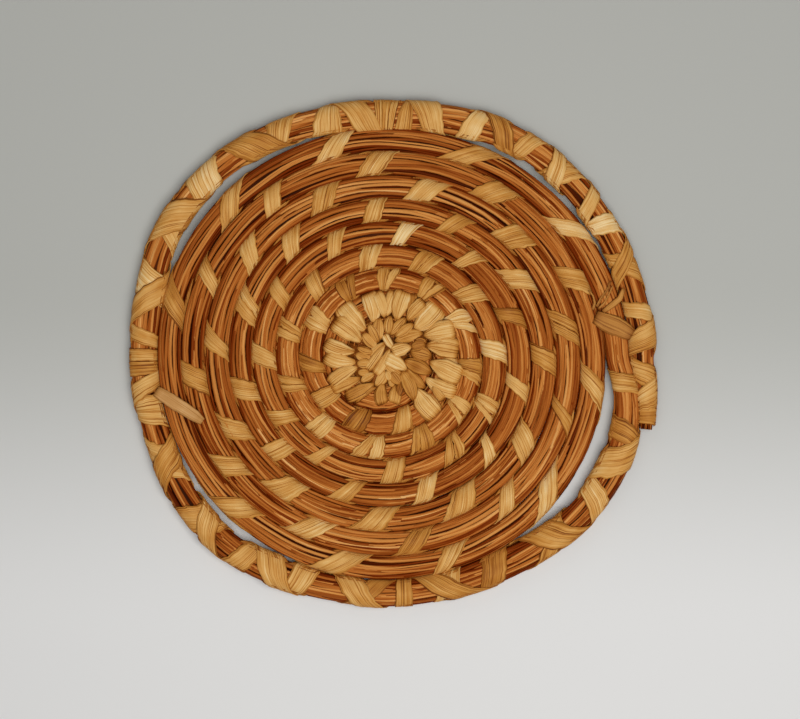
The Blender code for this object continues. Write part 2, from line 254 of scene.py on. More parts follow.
@dataclass(frozen=True)
class GrassStalk(FibreFinish):
    """Dried grass stalk, reddish brown, peeled and laid whole.

    The cuticle keeps a low gloss. Its fibres run lengthwise as fine streaks over slow
    blotches, and single stalks differ from nearly black red to orange tan. Real fibres
    are about 0.1 mm apart, so the streaks are drawn coarser, to show.
    """

    name: str = "grass_stalk"
    stops: Stops = (
        (0, "280200"), (0.3, "742801"), (0.55, "B06325"), (0.8, "D28D46"), (1, "E6B06E"),
    )
    roughness: float = 0.5
    gloss: float = 0.12
    gloss_tint: str = "F2BE88"
    relief: float = 0.6
    relief_depth: float = 0.05 * MM
    shade_and_wear_darkening: float = 0.5
    streak: Pair = (22 * MM, 0.45 * MM)
    streak_roughness: float = 0.6
    blotch: float = 40 * MM
    strength: float = 0.5

    def pattern(self, tree: Tree, grain: Socket) -> tuple[Socket, Socket]:
        """Fine streaks and slow blotches, about evenly darker and paler.

        Args:
            tree: the node tree that takes it.
            grain: millimetres along and across the fibres, and a seed.

        Returns:
            The shift of the tone, and the height of the relief.
        """
        streaks = noise(tree, grain, *self.streak, 3, self.streak_roughness)
        blotches = noise(tree, grain, self.blotch, math.inf, 2)
        both = scaled(tree, streaks, 1, blotches)
        return scaled(tree, both, self.strength, -self.strength), streaks


@dataclass(frozen=True)
class LeafSplint(FibreFinish):
    """Split leaf, dried and scraped to a thin pale strip.

    Parallel veins run its whole length as low ridges with fine darker lines, and there
    are faint stains. The surface is matt, and edges and folds are browner; ends and edges are
    drawn darker, partly dirt and partly painted shade. The finest veins would not show, so they are
    drawn 0.3 to 0.4 mm apart.
    """

    name: str = "leaf_splint"
    stops: Stops = (
        (0, "5A2404"), (0.3, "A2601E"), (0.55, "C6883C"), (0.8, "DEAE67"), (1, "ECCE98"),
    )
    roughness: float = 0.55
    gloss: float = 0.16
    gloss_tint: str = "F8E6C8"
    relief: float = 0.8
    relief_depth: float = 0.11 * MM
    shade_and_wear_darkening: float = 0.45
    vein: Pair = (18 * MM, 0.42 * MM)
    vein_roughness: float = 0.62
    vein_strength: Pair = (0.8, -0.34)
    line: Pair = (26 * MM, 0.30 * MM)
    line_range: Pair = (0.33, 0.46)
    line_strength: float = 0.44
    stain: Pair = (6 * MM, 6 * MM)
    stain_strength: Pair = (0.4, -0.2)

    def pattern(self, tree: Tree, grain: Socket) -> tuple[Socket, Socket]:
        """Veins with thin dark lines, and stains.

        Args:
            tree: the node tree that takes it.
            grain: millimetres along and across the fibres, and a seed.

        Returns:
            The shift of the tone, and the height of the relief.
        """
        veins = noise(tree, grain, *self.vein, 3, self.vein_roughness)
        stains = noise(tree, grain, *self.stain, 2)
        lines = noise(tree, grain, *self.line, 2)
        low, high = self.line_range
        limits = {"From Min": low, "From Max": high, "To Min": -self.line_strength, "To Max": 0}
        dark = add_node(tree, "ShaderNodeMapRange", limits, {"Value": lines}).outputs["Result"]
        line = scaled(tree, scaled(tree, veins, *self.vein_strength), 1, dark)
        return scaled(tree, line, 1, scaled(tree, stains, *self.stain_strength)), veins


@dataclass(frozen=True)
class TornSplint(LeafSplint):
    """Splint that has torn loose, weathered and a little pinkish."""

    name: str = "torn_splint"
    stops: Stops = ((0, "84501E"), (0.4, "B07A3E"), (0.7, "C8945A"), (1, "DCB682"))


@dataclass(frozen=True)
class PaintedShadeSplint(LeafSplint):
    """Splint deep between the petals, drawn darker as painted shade and with hardly any gloss."""

    name: str = "shaded_splint"
    stops: Stops = ((0, "3A1400"), (0.4, "7A3E0E"), (0.7, "A0602A"), (1, "C08A4E"))
    gloss: float = 0.05


@dataclass(frozen=True)
class BrownSplint(LeafSplint):
    """Splint of a deeper brown, hardly scraped, as on the binding at the join."""

    name: str = "brown_splint"
    stops: Stops = ((0, "6A340A"), (0.4, "A2662A"), (0.7, "C0843E"), (1, "D6A45E"))


@dataclass(frozen=True)
class PaperFloor:
    """Matt pale grey paper, which takes a soft shadow; its colour greys towards the back as painted
    shade.
    """

    name: str = "floor_paper"
    near: str = "DFDEDC"
    far: str = "B5B5AF"
    near_y: float = -94 * MM
    far_y: float = 29 * MM
    roughness: float = 0.9

    def material(self) -> Material:
        """Build the floor's material.

        Returns:
            The material, with its nodes.
        """
        material, tree, shader = new_material(self.name)
        place = add_node(tree, "ShaderNodeNewGeometry").outputs["Position"]
        height = add_node(tree, "ShaderNodeSeparateXYZ", links={"Vector": place}).outputs["Y"]
        # The colour runs from near to far: painted shade towards the back
        limits = {"From Min": self.near_y, "From Max": self.far_y}
        limits["interpolation_type"] = "SMOOTHSTEP"
        share = add_node(tree, "ShaderNodeMapRange", limits, {"Value": height}).outputs["Result"]
        stops = {"stops": ((0.0, self.near), (1.0, self.far))}
        colour = add_node(tree, "ShaderNodeValToRGB", stops, {"Fac": share}).outputs["Color"]
        tree.links.new(colour, shader.inputs["Base Color"])
        shader.inputs["Roughness"].default_value = self.roughness
        return material


# The bundle's line and surface


@dataclass(frozen=True)
class BundleLine:
    """Middle line and section of the one bundle that makes the disc and then the rim.

    The sizes down to the crescents are the CAD's own, but the rim's end lies closer to
    the disc. The disc and rim sizes are half the width and half the height over the
    stalks, which fill the gaps that the plain CAD solids keep between the turns.

    On the rim's inner side the stalks spread: everywhere a little, in each crescent by a
    part of its opening, and against the disc where the two touch. A touch is a share of
    the rim's turn, how far it reaches along that turn, and how far the stalks spread.
    """

    turns: float = 9
    pitch: float = 8.17 * MM
    start: float = -0.30
    start_edge: float = 5.40 * MM
    knot_room: float = 3.65 * MM
    half_width: float = 3.445 * MM
    level: float = 3.7 * MM
    oval: float = 0.11 * MM
    oval_angle: float = math.radians(-20)
    drift: Pair = (1.55 * MM, -1.3 * MM)
    rim_distance: float = 9.397 * MM
    end_distance: float = 6.25 * MM
    end: float = 10.042
    ease_share: float = 0.06
    openings: Row = (6.1 * MM, 3.2 * MM, 3.0 * MM, 2.6 * MM)
    spans: Rows = ((0, 0.225), (0.270, 0.470), (0.525, 0.755), (0.760, 0.980))
    peaks: Row = (0.30, 0.50, 0.38, 0.38)
    disc_half: Pair = (4.15 * MM, 3.05 * MM)
    rim_half: Pair = (3.80 * MM, 2.75 * MM)
    rim_spread: float = 1.0 * MM
    rim_flattening: Row = (0.25, 0.25, 0.03, 0.25)
    touches: Rows = (
        (0.170, 0.035, 1.3 * MM),
        (0.325, 0.020, 1.0 * MM),
        (0.540, 0.030, 0.8 * MM),
        (0.745, 0.035, 1.6 * MM),
        (0.800, 0.018, 1.0 * MM),
    )
    end_narrowing: float = 0.69
    section_power: float = 1.1
    disc_middle: Pair = (1.71 * MM, -0.34 * MM)
    slope_step: float = 0.0005

    def direction(self, turn: np.ndarray) -> np.ndarray:
        """Unit vectors from the knot towards places on the bundle, seen from above."""
        angle = -TAU * turn
        return np.stack([np.cos(angle), np.sin(angle)], axis=-1)

    def fullness(self, turn: np.ndarray) -> np.ndarray:
        """Share of its full width that the bundle has; it starts thin beside the knot."""
        edge = self.start_edge + self.pitch * (turn - self.start)
        return np.minimum(1, (edge - self.knot_room) / 2 / self.half_width)

    def step_out(self, turn: np.ndarray) -> np.ndarray:
        """Distance between neighbouring turns of the disc.

        Args:
            turn: places along the bundle, in turns.

        Returns:
            Distances in metres.
        """
        angle = -TAU * turn
        drift = (self.drift[0] * np.cos(angle) + self.drift[1] * np.sin(angle)) / self.turns
        return self.pitch + self.oval * np.cos(2 * (angle - self.oval_angle)) + drift

    def coil(self, turn: np.ndarray) -> np.ndarray:
        """Middle of the disc's coil, seen from above.

        Args:
            turn: places along the bundle, in turns.

        Returns:
            Points in metres.
        """
        grown = np.maximum(turn, 0)
        radius = self.start_edge + self.pitch * (turn - self.start)
        radius = radius - self.half_width * self.fullness(turn)
        radius = radius + grown * self.oval * np.cos(2 * (-TAU * turn - self.oval_angle))
        shift = np.stack([grown * part / self.turns for part in self.drift], axis=-1)
        return self.direction(turn) * radius[..., None] + shift

    def opening(self, share: np.ndarray, parts: Row = (1, 1, 1, 1)) -> np.ndarray:
        """How far the rim bows away from the disc at a share of its turn.

        Args:
            share: shares of the rim's turn.
            parts: part of each crescent's opening that counts.

        Returns:
            Distances in metres.
        """
        total = np.zeros_like(share)
        for size, span, peak, part in zip(self.openings, self.spans, self.peaks, parts):
            along = np.clip((share - span[0]) / (span[1] - span[0]), 0, 1)
            skewed = along ** (math.log(0.5) / math.log(peak))
            total = total + part * size * np.sin(math.pi * skewed) ** 2
        return total

    def closing(self, turn: np.ndarray) -> np.ndarray:
        """Share from 0 to 1 by which the rim has closed in on the disc towards its end."""
        return ease((turn - self.end) / self.ease_share + 1)

    def bowed(self, turn: np.ndarray, inner: np.ndarray) -> np.ndarray:
        """Middle of the rim, outside the line of the turn before it.

        Args:
            turn: places along the bundle, in turns.
            inner: middle of the bundle one turn before.

        Returns:
            Points in metres.
        """
        share = turn - self.turns
        step = self.step_out(turn)
        distance = step + (self.rim_distance - step) * ease(share / self.ease_share)
        last = self.closing(turn)
        distance = distance + (self.end_distance - self.rim_distance) * last
        distance = distance + self.opening(share)
        return inner + self.direction(turn) * distance[..., None]

    def centre(self, turn: np.ndarray) -> np.ndarray:
        """Middle of the bundle, seen from above, on the disc and then on the rim.

        Args:
            turn: places along the bundle, in turns.

        Returns:
            Points in metres.
        """
        share = (turn - self.turns)[..., None]
        before = self.bowed(turn - 1, self.coil(turn - 2))
        rim = self.bowed(turn, np.where(share > 1, before, self.coil(turn - 1)))
        return np.where(share > 0, rim, self.coil(turn))

    def outward(self, turn: np.ndarray) -> np.ndarray:
        """Level unit vectors away from the knot, square to the bundle.

        Args:
            turn: places along the bundle, in turns.

        Returns:
            The vectors.
        """
        run = self.centre(turn + self.slope_step) - self.centre(turn - self.slope_step)
        run = run / np.linalg.norm(run, axis=-1, keepdims=True)
        return np.stack([-run[..., 1], run[..., 0]], axis=-1)

    def half_size(self, turn: np.ndarray) -> tuple[np.ndarray, np.ndarray]:
        """Half the width and half the height of the bundle over its stalks.

        Args:
            turn: places along the bundle, in turns.

        Returns:
            Both halves, in metres.
        """
        leave = ease((turn - self.turns) / self.ease_share + 0.5)
        last = self.closing(turn)
        narrow = 1 - (1 - self.end_narrowing) * last
        full = self.fullness(turn)
        wide, high = (
            disc * full * (1 - leave) + rim * narrow * leave
            for disc, rim in zip(self.disc_half, self.rim_half)
        )
        return wide, high

    def inner_spread(self, turn: np.ndarray) -> np.ndarray:
        """How much further the rim's stalks reach on its inner side.

        Args:
            turn: places along the bundle, in turns.

        Returns:
            Lengths in metres.
        """
        share = turn - self.turns
        leave = ease(share / self.ease_share)
        last = self.closing(turn)
        spread = self.rim_spread + self.opening(share, self.rim_flattening)
        for middle, span, size in self.touches:
            spread = spread + size * np.exp(-(((share - middle) / span) ** 2))
        return spread * leave * (1 - last)

    def arc(self, turn: np.ndarray | float) -> np.ndarray:
        """Length of one whole turn at a place, to turn lengths into shares of a turn."""
        return TAU * np.linalg.norm(self.centre(np.asarray(turn, float)), axis=-1)


@dataclass(frozen=True)
class BundleSurface:
    """The bundle's skin: where stalks and splints lie, and where stitches draw it in.

    An angle round the section is 0 on the outer side, a quarter turn on top and half
    a turn on the inner side.
    """

    line: BundleLine
    pinch_outer: np.ndarray
    pinch_inner: np.ndarray
    pinch_depth: float = 0.10
    pinch_reach: float = 4.3 * MM
    pinch_sides: float = 0.25
    top_power: float = 2.4
    knot_rise: float = 0.78
    search_steps: int = 6

    def drawn_in(self, turn: np.ndarray, angle: np.ndarray) -> np.ndarray:
        """Share of its size that the bundle keeps where a stitch draws it in.

        Args:
            turn: places along the bundle, in turns.
            angle: angles round its section.

        Returns:
            Shares up to 1.
        """
        folded = np.mod(angle, TAU)
        across = np.where(folded < math.pi, folded, TAU - folded) / math.pi
        middle = self.pinch_outer + (self.pinch_inner - self.pinch_outer) * across[..., None]
        away = np.abs(turn[..., None] - middle).min(axis=-1) * self.line.arc(turn)
        return 1 - self.pinch_depth * np.exp(-((away / self.pinch_reach) ** 4))

    def frame(self, turn: np.ndarray, angle: np.ndarray) -> tuple[np.ndarray, np.ndarray]:
        """Unit vectors away from the bundle's middle and round it, at an angle.

        Args:
            turn: places along the bundle, in turns.
            angle: angles round its section.

        Returns:
            Both sets of vectors.
        """
        outward = self.line.outward(turn)
        cos, sin = np.cos(angle), np.sin(angle)
        away = np.stack([outward[..., 0] * cos, outward[..., 1] * cos, sin], axis=-1)
        around = np.stack([-outward[..., 0] * sin, -outward[..., 1] * sin, cos], axis=-1)
        return away, around

    def points(self, turn: np.ndarray, angle: np.ndarray, lift: np.ndarray) -> np.ndarray:
        """Places at a lift over the bundle's skin.

        Args:
            turn: places along the bundle.
            angle: angles round its section.
            lift: height over the skin, below 0 inside.

        Returns:
            Points in metres, one row each.
        """
        wide, high = self.line.half_size(turn)
        keep = self.drawn_in(turn, angle)
        cos, sin = np.cos(angle), np.sin(angle)
        power = self.line.section_power
        sides = 1 - self.pinch_sides + self.pinch_sides * keep
        reach = wide * sides + np.where(cos < 0, self.line.inner_spread(turn), 0)
        across = (reach + lift) * np.sign(cos) * np.abs(cos) ** power
        up = (high * keep + lift) * np.sign(sin) * np.abs(sin) ** power
        level = self.line.centre(turn) + self.line.outward(turn) * across[..., None]
        return np.concatenate([level, (self.line.level + up)[..., None]], axis=-1)

    def turn_at(self, band: int, degrees: float, angle: float) -> float:
        """Find a place along the bundle from where it is seen.

        Args:
            band: which turn, counted from the knot; the rim is the tenth.
            degrees: direction from the middle of the disc.
            angle: angle round the section, such as 0 for the outer side.

        Returns:
            The number of turns.
        """
        middle = np.array(self.line.disc_middle)
        turn = np.array([band - degrees / 360])
        for _ in range(self.search_steps):
            place = self.points(turn, np.array([angle]), np.zeros(1))[0, :2] - middle
            seen = math.degrees(math.atan2(place[1], place[0]))
            turn = turn - (((degrees - seen + 180) % 360) - 180) / 360
        return float(turn[0])

    def top_height(self, places: np.ndarray) -> np.ndarray:
        """Height of the coil's top under places seen from above, over the gaps between turns.

        Args:
            places: level places, in metres.

        Returns:
            Heights in metres.
        """
        angle = np.mod(np.arctan2(places[:, 1], places[:, 0]), TAU)
        best = np.full(len(places), self.line.level + self.knot_rise * self.line.disc_half[1])
        for count in range(int(self.line.turns) + 1):
            turn = np.maximum(count - angle / TAU, self.line.start)
            wide, high = self.line.half_size(turn)
            away = np.linalg.norm(places - self.line.centre(turn), axis=1) / wide
            rise = high * np.sqrt(np.clip(1 - away**self.top_power, 0, 1))
            best = np.maximum(best, self.line.level + rise)
        return best

    def edges(self, band: int, row: Row) -> tuple[Pair, Pair]:
        """Turns of a pass's two edges on the outer side, then on the inner side.

        Args:
            band: which turn, counted from the knot.
            row: the same four places in degrees; what follows them isn't used.

        Returns:
            Both pairs, in turns.
        """
        outer = tuple(self.turn_at(band, degrees, 0) for degrees in row[:2])
        inner = tuple(self.turn_at(band, degrees, math.pi) for degrees in row[2:4])
        return outer, inner


# Meshes


def grid_faces(rows: int, columns: int, closed: bool) -> list[list[int]]:
    """Faces of a grid of vertices, rows by columns; a closed one is a capped tube.

    Args:
        rows: of vertices.
        columns: of vertices.
        closed: whether the last column joins the first.

    Returns:
        For each face, the numbers of its vertices.
    """
    after = [(column + 1) % columns for column in range(columns if closed else columns - 1)]
    faces = [
        [low + column, low + other, low + columns + other, low + columns + column]
        for low in range(0, (rows - 1) * columns, columns)
        for column, other in enumerate(after)
    ]
    if closed:
        faces.append(list(range(columns))[::-1])
        faces.append(list(range((rows - 1) * columns, rows * columns)))
    return faces


@dataclass
class Skin:
    """The mesh of one piece, gathered from its stalks or strips."""

    name: str
    parts: list[tuple[np.ndarray, ...]] = field(default_factory=list)
    faces: list[list[int]] = field(default_factory=list)
    count: int = 0

    def add(
        self, points: np.ndarray, closed: bool, grain: Grain, tone: float, worn: np.ndarray
    ) -> None:
        """Add one stalk or strip.

        Args:
            points: its vertices, in rows and columns.
            closed: whether it is a tube and not a sheet.
            grain: for each vertex, millimetres along, millimetres across and a seed.
            tone: from 0, dark, to 1, pale.
            worn: for each vertex, from 0 to 1, how much darker it is drawn, partly dirt and partly
                painted shade.
        """
        rows, columns = points.shape[:2]
        grid = (rows, columns)
        self.faces.extend(
            [index + self.count for index in face] for face in grid_faces(*grid, closed)
        )
        values = [np.broadcast_to(value, grid).ravel() for value in (*grain, tone, worn)]
        self.parts.append((points.reshape(-1, 3), np.stack(values[:3], axis=-1), *values[3:]))
        self.count += rows * columns

    def piece(
        self, material: Material, thickness: float = 0, painted_light_tilt: float = 0
    ) -> bpy.types.Object:
        """Make the mesh and its object.

        Args:
            material: its finish.
            thickness: of a strip, which is laid out as a sheet; 0 for closed stalks.
            painted_light_tilt: how much its tone rises to the tray's far side, per metre, as
                painted light and shade.

        Returns:
            The new object.
        """
        points, grain, tone, worn = (np.concatenate(values) for values in zip(*self.parts))
        mesh = bpy.data.meshes.new(self.name)
        mesh.from_pydata(points.tolist(), [], self.faces)
        mesh.shade_smooth()
        layer = mesh.attributes.new("grain", "FLOAT_VECTOR", "POINT")
        layer.data.foreach_set("vector", grain.astype(np.float32).ravel())
        # The tone rises towards the tray's far side: painted light and shade
        for name, values in (("tone", tone + painted_light_tilt * points[:, 1]), ("worn", worn)):
            layer = mesh.attributes.new(name, "FLOAT", "POINT")
            layer.data.foreach_set("value", values.astype(np.float32))
        mesh.materials.append(material)
        piece = bpy.data.objects.new(self.name, mesh)
        bpy.context.scene.collection.objects.link(piece)
        if thickness:
            shell = piece.modifiers.new("Thickness", "SOLIDIFY")
            shell.thickness, shell.offset = thickness, 0
        return piece


def place_piece(piece: bpy.types.Object, slot: str, *nodes: str) -> None:
    """Fix a finished piece to the tray, hide what it stands for and log its faces.

    Args:
        piece: the piece.
        slot: the record's material slot; not used.
        nodes: the CAD nodes that it stands for.
    """
    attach(piece, BODY)
    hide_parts(*nodes)
    log.info("%s: %d faces, stands for %s", piece.name, len(piece.data.polygons), ", ".join(nodes))


@dataclass(frozen=True)
class Tones:
    """The tones of one kind of stalk or splint, from 0, dark, to 1, pale."""

    usual: float
    spread: float
    darkest: float = 0
    palest: float = 1

    def draw(self, rng: np.random.Generator) -> float:
        """Draw a tone about the usual one, within the limits."""
        return float(np.clip(rng.normal(self.usual, self.spread), self.darkest, self.palest))


@dataclass(frozen=True)
class StalkLayer:
    """The stalks of the bundle, each a tapered tube with its own run and colour."""

    surface: BundleSurface
    lanes: int = 23
    sides: int = 6
    least_rows: int = 6
    step: float = 4.2 * MM
    shortest: float = 80 * MM
    longest: float = 210 * MM
    overlap: float = 16 * MM
    tip: float = 9 * MM
    tip_girth: float = 0.25
    tip_dip: float = 0.45 * MM
    tip_shade_and_wear: float = 0.5
    thin: Pair = (0.34 * MM, 0.42 * MM)
    usual: Pair = (0.50 * MM, 0.60 * MM)
    broad: Pair = (0.66 * MM, 0.78 * MM)
    thin_share: float = 0.22
    broad_share: float = 0.12
    crossing_share: float = 0.14
    crossing: Pair = (0.8, 2.2)
    crossing_rise: float = 0.3
    wander: float = 0.10
    wander_lengths: Pair = (11 * MM, 4.3 * MM)
    unevenness: float = 0.11 * MM
    uneven_length: float = 7 * MM
    core_depth: float = 0.85 * MM
    core_sides: int = 10
    core_rows: int = 8
    core_painted_shade: float = 0.06
    core_grain: Pair = (300, 3)
    tones: Tones = Tones(0.59, 0.15, darkest=0.2)
    valley_painted_shade: float = 0.26
    valley_power: int = 3

    def length(self, span: Pair) -> float:
        """Length of a span of the bundle, by the turn at its middle."""
        return float(self.surface.line.arc(sum(span) / 2)) * (span[1] - span[0])

    def radius(self, rng: np.random.Generator) -> float:
        """Draw a stalk's radius.

        Args:
            rng: the random draws.

        Returns:
            The radius in metres.
        """
        draw = rng.random()
        if draw < self.thin_share:
            return rng.uniform(*self.thin)
        return rng.uniform(*(self.broad if draw > 1 - self.broad_share else self.usual))

    def stalk(self, skin: Skin, span: Pair, lane: float, rng: np.random.Generator) -> None:
        """Lay one stalk along the bundle.

        Args:
            skin: the mesh that takes it.
            span: the turns where it starts and ends.
            lane: its angle round the section.
            rng: the random draws.
        """
        length = self.length(span)
        share = np.linspace(0, 1, max(self.least_rows, int(length / self.step)))
        turn = span[0] + (span[1] - span[0]) * share
        along = share * length
        thick = self.radius(rng)
        phases = rng.uniform(0, TAU, 4)
        angle = lane + self.wander * np.sin(along / self.wander_lengths[0] + phases[0])
        angle = angle + self.wander / 2 * np.sin(along / self.wander_lengths[1] + phases[1])
        lift = rng.uniform(-self.unevenness, self.unevenness)
        lift = lift + self.unevenness / 2 * np.sin(along / self.uneven_length + phases[2])
        if rng.random() < self.crossing_share:
            lanes = rng.choice([-1, 1]) * rng.uniform(*self.crossing)
            angle = angle + lanes * TAU / self.lanes * ease(share)
            lift = lift + self.crossing_rise * thick * np.sin(math.pi * share)
        end = np.clip(np.minimum(share, 1 - share) * length / self.tip, 0, 1)
        girth = self.tip_girth + (1 - self.tip_girth) * np.sqrt(end)
        girth = thick * self.surface.line.fullness(turn) * girth
        lift = lift - girth - self.tip_dip * (1 - end)
        away, around = self.surface.frame(turn, angle)
        # Counted backwards, so that the faces look outwards
        count = np.arange(self.sides)[::-1]
        ring = count * TAU / self.sides - math.pi / 2
        points = np.sin(ring)[:, None] * away[:, None] + np.cos(ring)[:, None] * around[:, None]
        points = self.surface.points(turn, angle, lift)[:, None] + points * girth[:, None, None]
        across = count * thick * TAU / self.sides / MM
        grain = ((along / MM)[:, None], across, rng.uniform(*GRAIN_SEEDS))
        # Stalks low on the outer and inner flanks, down in the valleys between turns, are drawn
        # darker: painted shade
        low = self.valley_painted_shade * abs(math.cos(lane)) ** self.valley_power
        tone = self.tones.draw(rng) - low
        # Tips, which dip under their neighbours, are drawn darker: partly dirt, partly painted
        # shade
        skin.add(points, True, grain, tone, self.tip_shade_and_wear * (1 - end)[:, None])

    def core(self, skin: Skin, span: Pair) -> None:
        """Fill the bundle's inside with a dark tube, painted shade that shows only as brown between
        the stalks.

        Args:
            skin: the mesh that takes it.
            span: the turns where it starts and ends.
        """
        count = max(self.core_rows, int(self.length(span) / self.step))
        turn = np.repeat(np.linspace(*span, count), self.core_sides)
        angle = np.tile(np.arange(self.core_sides) * TAU / self.core_sides, count)
        depth = -self.core_depth * self.surface.line.fullness(turn)
        points = self.surface.points(turn, angle, depth).reshape(count, self.core_sides, 3)
        grain = (turn * self.core_grain[0], angle * self.core_grain[1])
        grain = (*(part.reshape(points.shape[:2]) for part in grain), 0)
        skin.add(points, True, grain, self.core_painted_shade, 0)

    def build(
        self, name: str, span: Pair, seed: int, material: Material, node: str, painted_light_tilt: float
    ) -> None:
        """Lay all the stalks whose starts lie in a span of the bundle, as one piece.

        Args:
            name: the piece's name.
            span: the turns where the piece starts and ends.
            seed: for the random draws.
            material: its finish.
            node: the CAD node that it stands for.
            painted_light_tilt: how much its tone rises to the tray's far side, per metre, as
                painted light and shade.
        """
        rng = np.random.default_rng(seed)
        skin = Skin(name)
        self.core(skin, span)
        line = self.surface.line
        arc = float(line.arc(sum(span) / 2))
        for lane in range(self.lanes):
            angle = (lane + 0.5) * TAU / self.lanes
            start = span[0] - rng.uniform(0, self.shortest) / arc * (span[0] > line.start)
            while start < span[1]:
                stop = min(start + rng.uniform(self.shortest, self.longest) / arc, line.end)
                self.stalk(skin, (max(start, line.start), stop), angle, rng)
                start = stop if stop >= line.end else stop - self.overlap / arc
        place_piece(skin.piece(material, painted_light_tilt=painted_light_tilt), "stalks", node)


@dataclass(frozen=True)
class SplintStrip:
    """How a splint is laid: as a pass over the bundle, or free along a line.

    A taper of a split splint has the share of the pass where it starts, the share over
    which it grows, and its power. Sizes that start with "laid" are for a strip laid free.
    """

    surface: BundleSurface
    rows: int = 17
    columns: int = 11
    tuck: float = 0.2
    thickness: float = 0.28 * MM
    clearance: float = 0.22 * MM
    tone_spread: float = 0.03
    curl: float = 0.16 * MM
    curl_shares: Pair = (-0.5, 1)
    curl_power: int = 4
    flute: float = 0.035 * MM
    flute_waves: Pair = (1.2, 4.5)
    flute_turn: float = 0.8
    crinkle_waves: Pair = (1, 2.5)
    slit: float = 0.014
    split_end: float = 0.85
    leafy_split: float = 0.1
    inner_taper: Row = (0.4, 0.7, 1.4)
    outer_taper: Row = (0.3, 0.4, 1.5)
    tip_share: float = 0.35
    ragged: float = 0.018
    ragged_waves: Row = (1.7, 3.9, 7.3)
    worn_end: float = 0.16
    shade_and_wear_weights: Pair = (0.7, 0.35)
    edge_power: int = 10
    laid_relief: float = 1.5
    laid_ragged: float = 1.2
    droop_power: int = 5

    def tear(self, share: np.ndarray, across: np.ndarray, rng: np.random.Generator) -> np.ndarray:
        """How far the edges stray sidewards along the strip, as a share of its width.

        Args:
            share: places along the strip, from 0 to 1.
            across: places across it, from 0 to 1.
            rng: the random draws.

        Returns:
            The strays, one row for each place along.
        """
        stray = np.zeros(np.broadcast(share, across).shape)
        edge = 2 * across - 1
        for side in (-1, 1):
            for waves in self.ragged_waves:
                wave = np.sin(TAU * waves * share + rng.uniform(0, TAU))
                stray = stray + self.ragged * wave * np.clip(side * edge, 0, 1) ** 2
        return stray

    def relief(self, share: np.ndarray, across: np.ndarray, rng: np.random.Generator) -> np.ndarray:
        """Low lengthwise flutes, a crinkle and the curl of the edges, in metres.

        Args:
            share: places along the strip, from 0 to 1.
            across: places across it, from 0 to 1.
            rng: the random draws.

        Returns:
            The heights, one row for each place along.
        """
        lift = np.zeros(np.broadcast(share, across).shape)
        for waves in rng.uniform(*self.flute_waves, 3):
            phase = rng.uniform(0, TAU)
            wave = np.sin(TAU * waves * across + phase + self.flute_turn * share)
            lift = lift + self.flute * wave
        waves = rng.uniform(*self.crinkle_waves)
        lift = lift + self.flute / 2 * np.sin(TAU * waves * share + rng.uniform(0, TAU))
        left, right = rng.uniform(*self.curl_shares, 2) * self.curl
        edge = 2 * across - 1
        return lift + np.where(edge < 0, left, right) * edge**self.curl_power

    def halves(self, along: np.ndarray, middle: float, opening: float) -> list[Edges]:
        """Edges of the two halves of a split splint, as shares of its width.

        The halves part towards the outer side and join on the inner side. The wider the
        split, the more each half is pointed, like a leaf.

        Args:
            along: places along the pass, from 0 to 1.
            middle: where it is split, as a share of its width.
            opening: how wide the split is at the outer side, as a share.

        Returns:
            For each half, its two edges.
        """
        gap = np.maximum(opening * (1 - along / self.split_end), self.slit) / 2
        leafy = min(1, opening / self.leafy_split)
        start, length, power = self.inner_taper
        drawn = leafy / 2 * np.clip((along - start) / length, 0, 1) ** power
        start, length, power = self.outer_taper
        tip = self.tip_share * leafy * np.clip((start - along) / length, 0, 1) ** power
        edges = (middle * drawn, middle - gap), (middle + gap, 1 - (1 - middle) * drawn)
        return [(low + tip * (high - low), high - tip * (high - low)) for low, high in edges]

    def wrap(
        self,
        skin: Skin,
        edges: tuple[Pair, Pair],
        lift: float,
        tone: float,
        rng: np.random.Generator,
        under: bool = False,
        belly: float = 0.06,
        split: Row = (),
    ) -> None:
        """Lay one pass of a splint over the bundle, from gap to gap.

        Args:
            skin: the mesh that takes it.
            edges: turns of its edges on the bundle's outer side, then on the inner side.
            lift: height over the stalks.
            tone: from 0, brown, to 1, pale.
            rng: the random draws.
            under: whether it passes over the underside.
            belly: how much wider it is in the middle than at its ends, as a share.
            split: where it is split, as a share of its width, and how wide that opens.
        """
        outer, inner = edges
        along = np.linspace(-self.tuck, 1 + self.tuck, self.rows)[:, None]
        across = np.linspace(0, 1, self.columns)[None, :]
        whole = [(np.zeros_like(along), np.ones_like(along))]
        for first, last in self.halves(along, *split) if split else whole:
            breadth = 1 + belly * (np.sin(math.pi * np.clip(along, 0, 1)) - 0.5)
            place = (first + last) / 2 + (across - 0.5) * (last - first) * breadth
            place = place + self.tear(along, across, rng)
            low, high = (start + (stop - start) * along for start, stop in zip(outer, inner))
            turn = low + (high - low) * place
            angle = np.broadcast_to(math.pi * along * (-1 if under else 1), turn.shape)
            height = lift + self.clearance + self.relief(along, across, rng)
            points = self.surface.points(turn, angle, height)
            self.close_strip(skin, points, tone + rng.normal(0, self.tone_spread), rng)

    def close_strip(
        self, skin: Skin, points: np.ndarray, tone: float, rng: np.random.Generator
    ) -> None:
        """Add a grid of points as one strip, with its grain and its darker ends and edges, partly
        dirt and partly painted shade.

        Args:
            skin: the mesh that takes it.
            points: in rows along it.
            tone: from 0, brown, to 1, pale.
            rng: the random draws.
        """
        rows, columns = points.shape[:2]
        runs = np.linalg.norm(np.diff(points[:, columns // 2], axis=0), axis=1)
        length = np.concatenate([[0], np.cumsum(runs)]) / MM
        width = float(np.linalg.norm(points[rows // 2, 0] - points[rows // 2, -1])) / MM
        across = np.linspace(0, 1, columns)
        along = np.linspace(0, 1, rows)[:, None]
